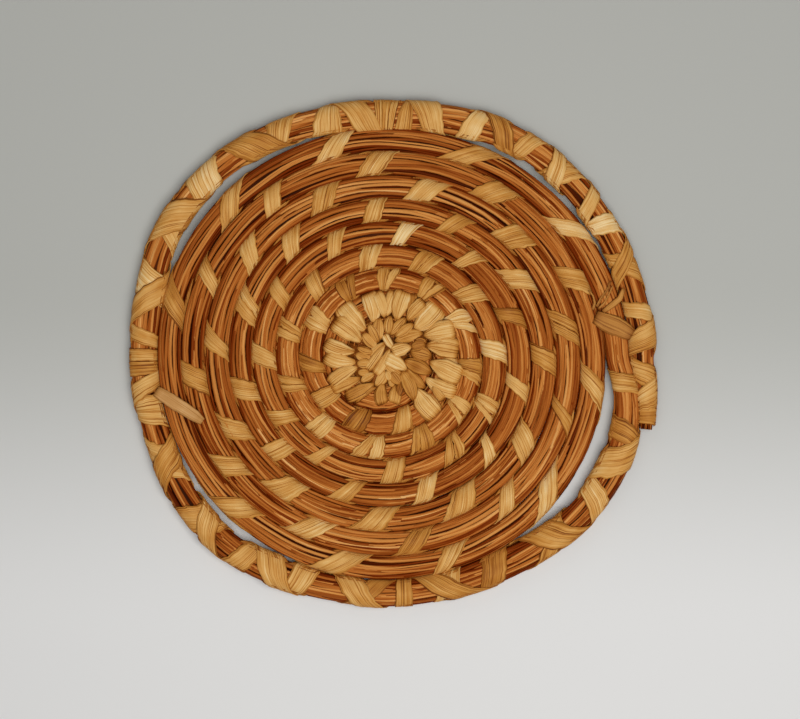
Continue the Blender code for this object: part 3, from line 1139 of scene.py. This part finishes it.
        # Ends, which go down into the gaps between turns, and edges are drawn darker: partly dirt,
        # partly painted shade
        ends = np.clip(1 - np.minimum(along, 1 - along) / self.worn_end, 0, 1)
        edges = (2 * across - 1) ** self.edge_power
        worn = np.clip(self.shade_and_wear_weights[0] * ends + self.shade_and_wear_weights[1] * edges, 0, 1)
        grain = (length[:, None], across * width, rng.uniform(*GRAIN_SEEDS))
        skin.add(points, False, grain, tone, worn)

    def lay(
        self,
        skin: Skin,
        path: np.ndarray,
        width: float,
        profile: np.ndarray,
        tone: float,
        rng: np.random.Generator,
        droop: float = 0.5 * MM,
    ) -> None:
        """Lay a leaf-shaped or torn strip along a line.

        Args:
            skin: the mesh that takes it.
            path: points of its middle line.
            width: its greatest width.
            profile: for each point, the share of that width.
            tone: from 0, brown, to 1, pale.
            rng: the random draws.
            droop: how far its edges bend down.
        """
        share = np.linspace(0, 1, len(path))[:, None]
        across = np.linspace(0, 1, self.columns)[None, :]
        run = np.gradient(path, axis=0)
        side = np.stack([run[:, 1], -run[:, 0], np.zeros(len(path))], axis=-1)
        side = side / np.linalg.norm(side, axis=1, keepdims=True)
        edge = 2 * across - 1
        full = np.minimum(1, profile[:, None] * self.laid_relief)
        height = self.relief(share, across, rng) * full
        height = height - droop * np.abs(edge) ** self.droop_power
        half = (width / 2 * profile)[:, None]
        reach = half * (edge + self.laid_ragged * self.tear(share, across, rng))
        points = path[:, None, :] + side[:, None, :] * reach[..., None]
        points[..., 2] += height
        self.close_strip(skin, points, tone, rng)

    def finish(
        self, skin: Skin, material: Material, slot: str, *nodes: str, painted_light_tilt: float = 0
    ) -> None:
        """Make the gathered strips one piece, which stands for CAD nodes."""
        place_piece(skin.piece(material, self.thickness, painted_light_tilt), slot, *nodes)


# Sub-assemblies


class Wrap(Enum):
    """Which of the rim's two crossing layers a wrap lies in, by its height over the stalks."""

    UNDER = 0.02 * MM
    OVER = 0.42 * MM


# For each turn of the disc, its stitches: the two edges of a stitch in degrees on the
# turn's outer side, then on its inner side. Where the splint is split, two shares follow:
# where across its width, and how wide the split opens towards the outer side.
STITCHES: dict[int, Rows] = {
    3: (
        (12, 31.6, 27.6, 37.6, 0.40, 0.10), (47.6, 64.6, 57.6, 66.4, 0.46, 0.09),
        (79, 96, 91, 99, 0.44, 0.14), (111, 126.4, 119, 129, 0.42, 0.09),
        (144, 158, 147, 162.4, 0.46, 0.09), (174.8, 185.6, 187, 196), (204.4, 217.6, 207, 220),
        (234, 250, 240, 255), (270, 286.8, 283, 295), (301, 318, 305, 312, 0.6, 0.08),
        (325, 337, 328, 335), (338, 358, 348, 358, 0.45, 0.08),
    ),
    4: (
        (27.6, 38.8, 37.4, 46), (58.8, 70.8, 67.4, 79.2, 0.5, 0.05),
        (91.6, 101.6, 99.2, 110.8, 0.5, 0.05), (127.4, 136, 134.4, 143.6),
        (158, 168, 163.2, 172.8, 0.5, 0.06), (187.6, 197.2, 195.2, 203.6, 0.5, 0.06),
        (219.2, 230, 220.4, 233.6, 0.35, 0.07), (246.4, 266, 257.6, 270, 0.47, 0.15),
        (281, 298, 290.4, 301.6, 0.41, 0.06), (314.6, 330.4, 324, 331.6, 0.36, 0.16),
        (340.4, 358, 349.2, 359.6, 0.40, 0.06),
    ),
    5: (
        (10, 18.8, 20, 25.8), (42.6, 50.4, 52.4, 56.6), (74.2, 82.8, 84.2, 89.8),
        (106.6, 114.8, 116.4, 122.8), (142.6, 149.4, 149.2, 157.4), (172, 180.8, 179.6, 188),
        (202.4, 210.2, 209.8, 216.6), (228.4, 234.8, 237.6, 242.4), (265.6, 275.2, 270.8, 281.2),
        (294.8, 308.2, 306.4, 314.8, 0.5, 0.10), (325.6, 336.8, 332.4, 340.4, 0.35, 0.08),
        (355.4, 365.2, 362, 372.4),
    ),
    6: (
        (22.2, 30.4, 30.8, 40.4), (55.2, 63.2, 65.2, 70.6), (89.4, 95.4, 94.2, 102),
        (121.6, 130.2, 131.4, 138.6), (151, 161, 160.4, 169.6, 0.45, 0.04), (186, 194, 191.4, 200),
        (214.6, 222, 217.8, 226.2), (244.8, 252.8, 255, 261.8), (278.6, 285.6, 286, 294.6),
        (309.2, 316.6, 320.2, 323.6), (340, 346.2, 348, 353.8),
    ),
    7: (
        (1.8, 9.4, 9.6, 18.6, 0.5, 0.03), (35.4, 45, 42.4, 51.4), (68.4, 77.6, 77, 85.8),
        (103.8, 112, 111.6, 119.8), (135.2, 142.6, 144, 150.6), (167.2, 175.2, 178, 182.4),
        (196.2, 205.8, 206.4, 213), (222.4, 234, 231.8, 240), (255.4, 266.6, 266.4, 275.6),
        (286.8, 298.8, 297.2, 306.6), (319.4, 328, 327.2, 337.4), (352, 360, 359.2, 366.8),
    ),
    8: (
        (15.2, 22.8, 23.2, 29.8), (48.6, 57.2, 56.8, 65.2), (86, 93.2, 93.6, 101.4),
        (120, 126, 126.4, 132), (149.2, 154.4, 157.4, 162.2), (180, 186.2, 185.2, 193.2),
        (207.2, 214.4, 214.8, 222.2), (236.8, 244.2, 246, 255), (270.4, 277.6, 279.4, 286.6),
        (302.2, 308.4, 311.6, 317.4), (334.6, 340, 344.4, 348),
    ),
    9: (
        (27.5, 33, 37, 43.4), (58, 65, 70, 77.8), (97.4, 102, 104.5, 112.7),
        (127.2, 134.4, 137.6, 144.4), (157.2, 165.2, 167.6, 174.2), (216.4, 223.8, 225.2, 233.4),
        (247.2, 255, 258, 267), (280.6, 284.4, 287.2, 295.2), (310, 317, 321.6, 330.6),
        (343.8, 351.4, 354, 359.6),
    ),
}

# The rim's wraps, with their edges in the same order, anticlockwise from the right
WRAPS: dict[Wrap, Rows] = {
    Wrap.OVER: (
        (3, 9, 0, 5), (24, 28, 15.5, 20), (38, 41, 33, 37), (49, 52, 43.5, 48.5),
        (64, 69.5, 57, 62), (79, 86, 75.5, 80.5), (96.5, 103, 90.5, 97), (123, 130, 113.5, 124.5),
        (146, 156, 138, 147), (168, 174, 158, 165.5), (187, 191.5, 183, 187),
        (206, 212.5, 198.5, 206), (225, 230.5, 216.5, 223), (243, 249, 234, 242),
        (263, 269.5, 255, 262.5), (286, 295, 275, 281.5), (314, 321, 304.5, 314),
        (336, 343.5, 328, 336),
    ),
    Wrap.UNDER: (
        (7, 11, 10, 13.5), (15, 21.5, 22, 26), (27.5, 33, 30.8, 34.5), (41.5, 46.5, 46, 51.5),
        (53, 57.5, 56.5, 60), (66.5, 70, 68, 73.5), (84.5, 86, 84, 88.8), (101, 105, 101.5, 109.5),
        (110, 117, 116, 120.5), (130, 138.5, 134, 142), (142.5, 148, 149, 155.5),
        (157, 165, 161, 168), (172, 175.8, 175, 178.2), (190, 194, 188.5, 198),
        (197.5, 205, 204, 212.5), (214.5, 221, 219, 228), (230, 235.5, 233, 238),
        (245, 249.5, 246, 253), (259, 262, 265, 273), (280.5, 285, 284, 289.5),
        (291, 296.5, 295.5, 302.5), (304, 311, 314, 319), (320, 326, 325.5, 331),
        (338.5, 342.5, 340.5, 346.5), (351.2, 355, 351.8, 357),
    ),
}


def stitch_middles(surface: BundleSurface) -> tuple[np.ndarray, ...]:
    """Middle of each stitch on the outer and on the inner side, in turns."""
    edges = [surface.edges(band, row) for band, rows in STITCHES.items() for row in rows]
    return tuple(np.array([sum(pair[side]) / 2 for pair in edges]) for side in (0, 1))


@dataclass
class CoilSewing:
    """The stitches that sew each turn of the disc to the turn inside it.

    On the two turns next to the petals they bulge more in the middle.
    """

    strip: SplintStrip
    seed: int = 21
    tones: Tones = Tones(0.60, 0.09, 0.3, 0.85)
    belly: float = 0.08
    inner_bellies: Pair = (0.34, 0.20)

    def dress(self, material: Material) -> None:
        """Lay every stitch over the top and its way back over the underside.

        Args:
            material: the splints' finish.
        """
        bellies = dict(zip(STITCHES, self.inner_bellies))
        for band, rows in STITCHES.items():
            rng = np.random.default_rng(self.seed + band)
            skin = Skin(f"sewing_splint_{band}")
            belly = bellies.get(band, self.belly)
            edges = [self.strip.surface.edges(band, row) for row in rows]
            for row, pair in zip(rows, edges):
                tone = self.tones.draw(rng)
                self.strip.wrap(skin, pair, 0, tone, rng, belly=belly, split=row[4:])
            for (outer, _), (_, inner) in zip(edges[1:], edges):
                self.strip.wrap(skin, (outer, inner), 0, self.tones.usual, rng, under=True)
            node = f"sewing_strip_{band:02d}"
            self.strip.finish(skin, material, "splint", node, painted_light_tilt=DISC_PAINTED_LIGHT_TILT)


@dataclass
class RimWrapping:
    """The rim's wraps, in two layers that cross, the straight lashings and the end's wrap.

    A quarter is the range of degrees that one CAD wrap of each layer covers. The lashings
    and end wraps have rows like those of the tables.
    """

    strip: SplintStrip
    seed: int = 57
    layer_seeds: int = 10
    tones: Tones = Tones(0.62, 0.09, 0.4, 0.82)
    back_tone: float = 0.6
    loop_tones: Tones = Tones(0.56, 0.06)
    loop_lift: float = 0.12 * MM
    loop_step: float = 0.08 * MM
    quarters: Rows = ((272, 361), (181, 272), (90, 181), (0, 90))
    lashings: tuple[Rows, ...] = (
        ((271.6, 275.7, 272.2, 276.0),),
        ((178.0, 180.9, 178.2, 181.0), (181.0, 184.4, 181.1, 184.2)),
        ((87.1, 89.0, 89.2, 90.3), (89.1, 91.2, 90.4, 91.5), (91.3, 93.2, 91.6, 92.6)),
    )
    end_wraps: Rows = (
        (-9, -2.6, -5, 0.6), (-14.4, -9.6, -14.6, -11.2), (-10.2, -3.2, -12.6, -8.4),
    )

    def edges(self, rows: list[Row] | Rows) -> list[tuple[Pair, Pair]]:
        """Turns of the edges of some wraps, on the outer side, then on the inner side."""
        rim = int(self.strip.surface.line.turns) + 1
        return [self.strip.surface.edges(rim, row) for row in rows]

    def dress(self, material: Material) -> None:
        """Lay the crossing wraps of each quarter, then the lashings and the end's wrap.

        Args:
            material: the splints' finish.
        """
        for layer, rows in WRAPS.items():
            slot = "splint" if layer is Wrap.OVER else "wrap_under"
            for number, (first, last) in enumerate(self.quarters, 1):
                seed = self.seed + number + self.layer_seeds * len(layer.name)
                rng = np.random.default_rng(seed)
                name = f"{layer.name.lower()}_{number}"
                skin = Skin(f"rim_wraps_{name}")
                edges = self.edges([row for row in rows if first <= sum(row) / 4 < last])
                for pair in edges:
                    self.strip.wrap(skin, pair, layer.value, self.tones.draw(rng), rng)
                for before, after in zip(edges, edges[1:]):
                    pair = (after[0], before[1]) if layer is Wrap.UNDER else (before[0], after[1])
                    self.strip.wrap(skin, pair, layer.value, self.back_tone, rng, under=True)
                self.strip.finish(skin, material, slot, f"rim_wrap_{name}", painted_light_tilt=RIM_PAINTED_LIGHT_TILT)
        for number, rows in enumerate(self.lashings, 1):
            self.bind(f"rim_lashing_{number}", rows, material)
        self.bind("rim_end_wrap", self.end_wraps, material)

    def bind(self, node: str, rows: Rows, material: Material) -> None:
        """Wind loops round the rim, each over the one before, in place of one CAD node.

        Args:
            node: the CAD node's name.
            rows: the edges of its loops, in degrees.
            material: the splints' finish.
        """
        rng = np.random.default_rng(self.seed + len(node) + round(rows[0][0]))
        skin = Skin(f"{node}_loops")
        for count, pair in enumerate(self.edges(rows)):
            lift = self.loop_lift + self.loop_step * count
            for under in (False, True):
                self.strip.wrap(skin, pair, lift, self.loop_tones.draw(rng), rng, under=under)
        self.strip.finish(skin, material, "splint", node, painted_light_tilt=RIM_PAINTED_LIGHT_TILT)


@dataclass
class MiddlePetals:
    """The short splints in the middle, which open into petals round the knot.

    A row holds a petal's outer end and inner end in pixels of the photograph, its
    width in pixels and its tone. Their places in millimetres follow from the pixel of
    the knot and the size of a pixel. A rounding has the share of the petal from which
    it counts, the share over which it runs, and its power.
    """

    strip: SplintStrip
    seed: int = 83
    knot_pixel: Pair = (383, 356)
    pixel: float = 0.342 * MM
    fill: float = 1.23
    pointed_fill: float = 1.12
    pointed_span: Pair = (0.02, 0.96)
    pointed_power: float = 0.85
    outer_round: Row = (0.35, 0.5, 0.6)
    inner_round: Row = (1.01, 0.46, 0.75)
    points: int = 13
    bow: float = 0.05
    paler: float = 0.04
    droop: float = 0.55 * MM
    ends_dip: float = 1.2 * MM
    dip_share: float = 0.14
    lifts: Row = (0.30 * MM, 0.35 * MM, 0.55 * MM)
    layer: float = 0.35 * MM
    bed_gap: float = 0.02
    bed_end: float = 1.0
    bed_lean: float = 0.3
    bed_spacing: float = 0.94
    bed_width: float = 2.6 * MM
    bed_depth: float = 0.3 * MM
    bed_painted_shade_tones: Pair = (0.2, 0.4)
    back_tones: Pair = (0.9, 1.0)
    shortest_turn: float = 20 * MM
    knot_strips: int = 11
    knot_reach: float = 5.2 * MM
    knot_wobble: float = 0.1
    knot_rise: Pair = (0.70, 0.30)
    knot_step: float = 0.05 * MM
    knot_steps: int = 3
    knot_profile: Pair = (0.55, 0.45)
    second_pixels: Rows = (
        (368, 293, 373.6, 324, 14.6, 0.72), (376.1, 292, 384.3, 318, 10, 0.60),
        (394.9, 291, 386.1, 317, 10.6, 0.64), (404.3, 291, 396.5, 321, 15, 0.68),
        (413, 293, 406.5, 318, 7, 0.30), (424.3, 302, 407, 321, 12, 0.56),
        (438.5, 306, 413.5, 330, 19, 0.69), (455, 329, 423, 336, 17, 0.68),
        (459, 350, 425.5, 345.5, 17, 0.62), (461, 377.5, 429, 361.5, 17, 0.66),
        (457, 392, 424.5, 377, 12.5, 0.66), (443, 400, 431.5, 386, 6.5, 0.60),
        (436.5, 415.5, 415.5, 387.5, 18, 0.70), (382.7, 404.5, 383.6, 382, 10.5, 0.38),
        (393.2, 403.5, 395.5, 384, 10.5, 0.50), (346, 398, 375, 383, 11, 0.42),
        (354, 401.5, 377.5, 386.5, 6, 0.36), (330, 384, 358.3, 366.9, 12, 0.62),
        (331, 390, 361.8, 377.5, 10, 0.50), (325, 343, 356, 351.5, 12, 0.70),
        (325, 355, 357.5, 361.5, 13.5, 0.58), (334, 321, 362, 342.5, 16.5, 0.64),
        (341.5, 305, 366.6, 331.5, 17.5, 0.70),
    )
    first_pixels: Rows = (
        (379.5, 317, 380, 340.5, 8.8, 0.52), (368.5, 323.5, 378.8, 343, 6.8, 0.48),
        (362, 333.5, 376.5, 349, 9, 0.48), (390.7, 315.5, 388.8, 335, 7.2, 0.52),
        (406, 317.5, 390, 335.5, 8.2, 0.50), (413.5, 323.5, 395, 337, 7.6, 0.50),
        (423, 332.8, 394.5, 342, 9, 0.50), (357, 346.6, 374.5, 352, 6, 0.44),
        (355, 353.5, 374, 361.5, 8.2, 0.50), (356.5, 364.2, 372, 364.5, 7.6, 0.50),
        (357.5, 372.5, 370, 373.3, 5.8, 0.42), (361, 382, 375, 373.8, 6.2, 0.48),
        (375.5, 386.5, 386, 370.5, 8.8, 0.55), (389.6, 381, 386.2, 370.5, 4.8, 0.60),
        (391.2, 387.5, 391, 376, 5.2, 0.48), (401, 384, 391, 371, 8.8, 0.42),
        (398, 398, 403, 378, 6.5, 0.22), (414, 401, 401, 370, 10.5, 0.40),
        (425.5, 388, 406.5, 368, 8.5, 0.30), (432, 373.3, 403.5, 360.3, 11, 0.30),
        (426.5, 342.7, 414.5, 341, 4.8, 0.34), (426, 344, 410.5, 347.8, 7.5, 0.34),
        (432, 357, 409.5, 351.3, 12, 0.36),
    )
    knot_pixels: Rows = (
        (401, 376, 384, 365.2, 7, 0.54), (391.5, 352.6, 412, 346.8, 11, 0.72),
        (369, 356.4, 385.4, 342.2, 6.4, 0.54), (367, 370, 385.4, 343.5, 7.4, 0.66),
        (375, 375, 389.6, 348, 8.4, 0.66), (384.8, 357.5, 407, 370, 12, 0.74),
        (384.2, 333.8, 395, 350.2, 6, 0.74),
    )

    def place(self, x: float, y: float) -> np.ndarray:
        """Place of a pixel, in metres from the knot."""
        return np.array([x - self.knot_pixel[0], self.knot_pixel[1] - y]) * self.pixel

    def petal(
        self, skin: Skin, row: Row, lift: float, pointed: bool, rng: np.random.Generator
    ) -> None:
        """Lay one petal over the coil's top, its ends drawn down into the gaps.

        A pointed petal tapers towards both ends, the others keep a broad outer end.

        Args:
            skin: the mesh that takes it.
            row: its row of the table.
            lift: height over the coil's top.
            pointed: whether it is pointed.
            rng: the random draws.
        """
        outer, inner = self.place(*row[:2]), self.place(*row[2:4])
        breadth, tone = row[4:]
        share = np.linspace(0, 1, self.points)
        side = np.array([inner[1] - outer[1], outer[0] - inner[0]])
        bow = rng.normal(0, self.bow) * np.sin(math.pi * share)
        level = outer + (inner - outer) * share[:, None] + side * bow[:, None]
        ends = np.clip(1 - np.minimum(share, 1 - share) / self.dip_share, 0, 1)
        height = self.strip.surface.top_height(level) + lift - self.ends_dip * ends**2
        path = np.concatenate([level, height[:, None]], axis=1)
        width = self.fill * breadth * self.pixel
        if pointed:
            width *= self.pointed_fill
            first, span = self.pointed_span
            profile = np.sin(math.pi * (first + span * share)) ** self.pointed_power
        else:
            start, span, power = self.outer_round
            profile = np.minimum(1, (share + start) / span) ** power
            stop, span, power = self.inner_round
            profile = profile * np.minimum(1, (stop - share) / span) ** power
        self.strip.lay(skin, path, width, profile, tone + self.paler, rng, self.droop)

    def bed(self, material: Material) -> None:
        """Wind the first turns closely with splint drawn darker as painted shade, which shows
        between the petals.

        Args:
            material: the finish of the splints drawn darker as painted shade.
        """
        rng = np.random.default_rng(self.seed + 1)
        skin = Skin("sewing_bed")
        line = self.strip.surface.line
        turn = line.start + self.bed_gap
        while turn < self.bed_end:
            width = self.bed_width / max(float(line.arc(turn)), self.shortest_turn)
            ends = (turn, turn + width)
            edges = (ends, tuple(end - self.bed_lean * width for end in ends))
            for under in (False, True):
                # The top passes take dark tones: painted shade between the petals
                tone = rng.uniform(*(self.back_tones if under else self.bed_painted_shade_tones))
                self.strip.wrap(skin, edges, -self.bed_depth, tone, rng, under=under)
            turn += self.bed_spacing * width
        self.strip.finish(skin, material, "splint", "sewing_strip_01", "sewing_strip_02")

    def knot_bed(self, material: Material) -> None:
        """Cross short strips over and under the knot, so that the middle is closed.

        Args:
            material: the finish of the splints drawn darker as painted shade.
        """
        rng = np.random.default_rng(self.seed + 2)
        skin = Skin("knot_bed")
        line = self.strip.surface.line
        share = np.linspace(-1, 1, self.points)
        middle, fall = self.knot_rise
        narrow, wider = self.knot_profile
        profile = narrow + wider * np.abs(share)
        for side in (1, -1):
            for count in range(self.knot_strips):
                wobble = rng.uniform(-self.knot_wobble, self.knot_wobble)
                angle = math.pi * count / self.knot_strips + wobble
                rise = line.disc_half[1] * (middle - fall * share**4)
                rise = rise + self.knot_step * (count % self.knot_steps)
                run = share * self.knot_reach
                path = [run * math.cos(angle), run * math.sin(angle), line.level + side * rise]
                # The top strips take dark tones: painted shade in the middle
                tone = rng.uniform(*(self.bed_painted_shade_tones if side > 0 else self.back_tones))
                self.strip.lay(skin, np.stack(path, axis=1), self.bed_width, profile, tone, rng)
        self.strip.finish(skin, material, "splint", "start_knot")

    def dress(self, material: Material, bed_material: Material) -> None:
        """Lay the bed, then the petals of the second turn, the first turn and the knot.

        Args:
            material: the petals' finish.
            bed_material: the finish of the splints under them, drawn darker as painted shade.
        """
        self.bed(bed_material)
        self.knot_bed(bed_material)
        rng = np.random.default_rng(self.seed)
        layers = (
            ("sewing_petals_2", self.second_pixels, ("sewing_strip_02",)),
            ("sewing_petals_1", self.first_pixels, ("sewing_strip_01",)),
            ("knot_petals", self.knot_pixels, ("knot_splint_1", "knot_splint_2")),
        )
        for (name, rows, nodes), lift in zip(layers, self.lifts):
            skin = Skin(name)
            for count, row in enumerate(rows):
                high = lift + self.layer * (count % 2)
                self.petal(skin, row, high, rows is self.first_pixels, rng)
            self.strip.finish(skin, material, "splint", *nodes)


@dataclass(frozen=True)
class FreeStrip:
    """A strip that has come free: its line in pixels of the photograph, and its sizes."""

    pixels: Rows
    lifts: Pair
    width: float
    tone: float
    droop: float = 0.5 * MM


@dataclass
class LooseEnds:
    """What has come free: the torn tail on the left and the brown leaf on the right.

    The leaf is the end of the join's binding, with a strand and a few fibres beside it.
    A tear has how much of the width is gone, from which share of the length, and over
    what share.
    """

    petals: MiddlePetals
    seed: int = 7
    tail: FreeStrip = FreeStrip(
        ((157, 391), (170, 399), (186, 409), (204, 421)),
        (0.5 * MM, 1.8 * MM), 4.6 * MM, 0.62, 0.3 * MM,
    )
    leaf: FreeStrip = FreeStrip(
        ((594.5, 317), (607, 323), (619, 328), (631.5, 335)),
        (0.7 * MM, 0.7 * MM), 6.6 * MM, 0.5,
    )
    strand: FreeStrip = FreeStrip(
        ((602, 312), (610, 306), (619, 299), (622.5, 289)),
        (0.9 * MM, 1.2 * MM), 1.9 * MM, 0.6,
    )
    fibres: tuple[FreeStrip, ...] = tuple(
        FreeStrip(pixels, (0.4 * MM, 1.3 * MM), 0.8 * MM, 0.6, 0.1 * MM)
        for pixels in (
            ((596, 307), (600, 299), (606, 291), (610, 281)),
            ((598, 309), (604, 303), (609, 293), (612, 286)),
            ((592, 310), (594, 303), (592, 296), (588, 291)),
        )
    )
    points: int = 15
    smoothing: int = 5
    tail_bulge: Pair = (0.8, 0.2)
    tail_tear: Row = (0.35, 0.85, 0.15)
    leaf_span: Pair = (0.16, 0.7)
    leaf_power: float = 0.55
    strand_bulge: Pair = (0.6, 0.4)
    fibre_taper: float = 0.6

    def lay(
        self, skin: Skin, free: FreeStrip, profile: np.ndarray, rng: np.random.Generator
    ) -> None:
        """Lay a free strip along its line, over the smoothed top of the coil.

        Args:
            skin: the mesh that takes it.
            free: the strip.
            profile: for each point of its line, the share of its width.
            rng: the random draws.
        """
        marks = np.array([self.petals.place(*pixel) for pixel in free.pixels])
        share = np.linspace(0, 1, self.points)
        known = np.linspace(0, 1, len(marks))
        level = np.stack([np.interp(share, known, marks[:, axis]) for axis in range(2)], axis=1)
        height = self.petals.strip.surface.top_height(level)
        height = np.pad(height, self.smoothing // 2, mode="edge")
        height = np.convolve(height, np.ones(self.smoothing) / self.smoothing, mode="valid")
        first, last = free.lifts
        height = height + first + (last - first) * share**2
        path = np.concatenate([level, height[:, None]], axis=1)
        self.petals.strip.lay(skin, path, free.width, profile, free.tone, rng, free.droop)

    def dress(self, tail_material: Material, leaf_material: Material) -> None:
        """Lay the tail, the leaf of the binding, its strand and a few fibres.

        Args:
            tail_material: the torn tail's finish.
            leaf_material: the finish of the leaf and what lies beside it.
        """
        rng = np.random.default_rng(self.seed)
        share = np.linspace(0, 1, self.points)
        bulge = np.sin(math.pi * share)
        tail, leaf = Skin("torn_tail"), Skin("join_leaf")
        size, start, length = self.tail_tear
        torn = 1 - size * np.clip(share - start, 0, 1) / length
        narrow, wider = self.tail_bulge
        self.lay(tail, self.tail, (narrow + wider * bulge) * torn, rng)
        self.petals.strip.finish(tail, tail_material, "tail", "loose_tail")
        first, span = self.leaf_span
        leafy = np.sin(math.pi * (first + span * share)) ** self.leaf_power
        self.lay(leaf, self.leaf, leafy, rng)
        narrow, wider = self.strand_bulge
        self.lay(leaf, self.strand, narrow + wider * bulge, rng)
        for fibre in self.fibres:
            self.lay(leaf, fibre, 1 - self.fibre_taper * share, rng)
        self.petals.strip.finish(leaf, leaf_material, "binding", "join_binding")


@dataclass(frozen=True)
class Studio:
    """The floor, the soft lights and the camera that looks straight down.

    A lamp has a name, a place, the side of its square in metres and its power in watts.
    """

    look_at: Pair = (5.81 * MM, -1.2 * MM)
    frame_width: float = 273.6 * MM
    lens: float = 85
    sensor: float = 36
    floor_size: float = 4
    level: float = 4 * MM
    floor_drop: float = 0.2 * MM
    lamps: tuple[tuple[str, Row, float, float], ...] = (
        ("key", (0.15, -0.14, 0.72), 0.60, 5.0),
        ("side", (-0.20, 0.40, 0.42), 0.34, 0.26),
        ("fill", (-0.36, -0.30, 0.65), 0.7, 0.6),
    )
    room_colour: str = "DEDEDE"
    room_light: float = 0.14

    def hang(self, name: str, data: bpy.types.ID, place: Row) -> bpy.types.Object:
        """Put a lamp or the camera into the scene.

        Args:
            name: its name.
            data: the lamp or camera itself.
            place: in metres.

        Returns:
            The new object.
        """
        item = bpy.data.objects.new(name, data)
        item.location = place
        bpy.context.scene.collection.objects.link(item)
        return item

    def build(self) -> None:
        """Lay the floor just under the tray, set the camera over it and hang the lamps.

        The camera's height makes a pixel as wide at the tray's level as it really is.
        """
        bpy.ops.mesh.primitive_plane_add(size=self.floor_size, location=(0, 0, -self.floor_drop))
        floor = bpy.context.object
        floor.name = "floor"
        floor.data.materials.append(PaperFloor().material())
        camera = bpy.data.cameras.new("camera")
        camera.lens, camera.sensor_width = self.lens, self.sensor
        height = self.level + self.frame_width * self.lens / self.sensor
        bpy.context.scene.camera = self.hang("camera", camera, (*self.look_at, height))
        for name, place, size, power in self.lamps:
            lamp = bpy.data.lights.new(name, "AREA")
            lamp.size, lamp.energy = size, power
            item = self.hang(name, lamp, place)
            item.rotation_euler = (-Vector(place)).to_track_quat("-Z", "Y").to_euler()
        world = bpy.data.worlds.new("room")
        world.use_nodes = True
        background = world.node_tree.nodes["Background"]
        background.inputs["Color"].default_value = linear(self.room_colour)
        background.inputs["Strength"].default_value = self.room_light
        bpy.context.scene.world = world
        bpy.context.scene.view_settings.view_transform = "Standard"


@dataclass(frozen=True)
class BasketryTray:
    """The whole tray, from its bundle of stalks to its loose ends.

    The rim's stalks spread less on its inner side than the wraps over them reach. Far
    off is a turn that the bundle never comes to.
    """

    line: BundleLine = BundleLine()
    stalk_flattening: Row = (0.18, 0.16, -0.10, 0.12)
    join: float = 8.972
    rim_parts: int = 4
    rim_seed: int = 40
    far_off: float = 50

    def lay_stalks(self, surface: BundleSurface, bare: BundleSurface) -> None:
        """Lay the disc's stalks turn by turn, then the rim's, which keep closer together.

        Args:
            surface: the bundle's skin under the splints.
            bare: the skin of the stalks alone on the rim.
        """
        stalk = GrassStalk().material()
        marks = [self.line.start, *range(1, math.ceil(self.join)), self.join]
        layer = StalkLayer(surface)
        for number, span in enumerate(zip(marks, marks[1:]), 1):
            name = f"stalks_turn_{number}"
            layer.build(name, span, number, stalk, "coil_bundle", DISC_PAINTED_LIGHT_TILT)
        run = self.line.end - self.join
        marks = [self.join + part * run / self.rim_parts for part in range(self.rim_parts + 1)]
        layer = StalkLayer(bare)
        for number, span in enumerate(zip(marks, marks[1:])):
            name = f"stalks_rim_{number + 1}"
            layer.build(name, span, self.rim_seed + number, stalk, "rim_bundle", RIM_PAINTED_LIGHT_TILT)

    def dress(self) -> None:
        """Build and dress every piece over the CAD frame."""
        splint, tail, painted_shade_material, brown = (
            finish().material() for finish in (LeafSplint, TornSplint, PaintedShadeSplint, BrownSplint)
        )
        # The stitches are first placed on a bundle that none of them draws in
        nowhere = np.array([self.far_off])
        middles = stitch_middles(BundleSurface(self.line, nowhere, nowhere))
        surface = BundleSurface(self.line, *middles)
        slim = replace(self.line, rim_flattening=self.stalk_flattening)
        self.lay_stalks(surface, BundleSurface(slim, *middles))
        strip = SplintStrip(surface)
        CoilSewing(strip).dress(splint)
        RimWrapping(strip).dress(splint)
        petals = MiddlePetals(strip)
        petals.dress(splint, painted_shade_material)
        LooseEnds(petals).dress(tail, brown)


def main() -> None:
    """Load the frame, dress the tray, set up the studio and note the sizes."""
    logging.basicConfig(level=logging.INFO, format="%(message)s")
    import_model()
    BasketryTray().dress()
    Studio().build()


if __name__ == "__main__":
    main()
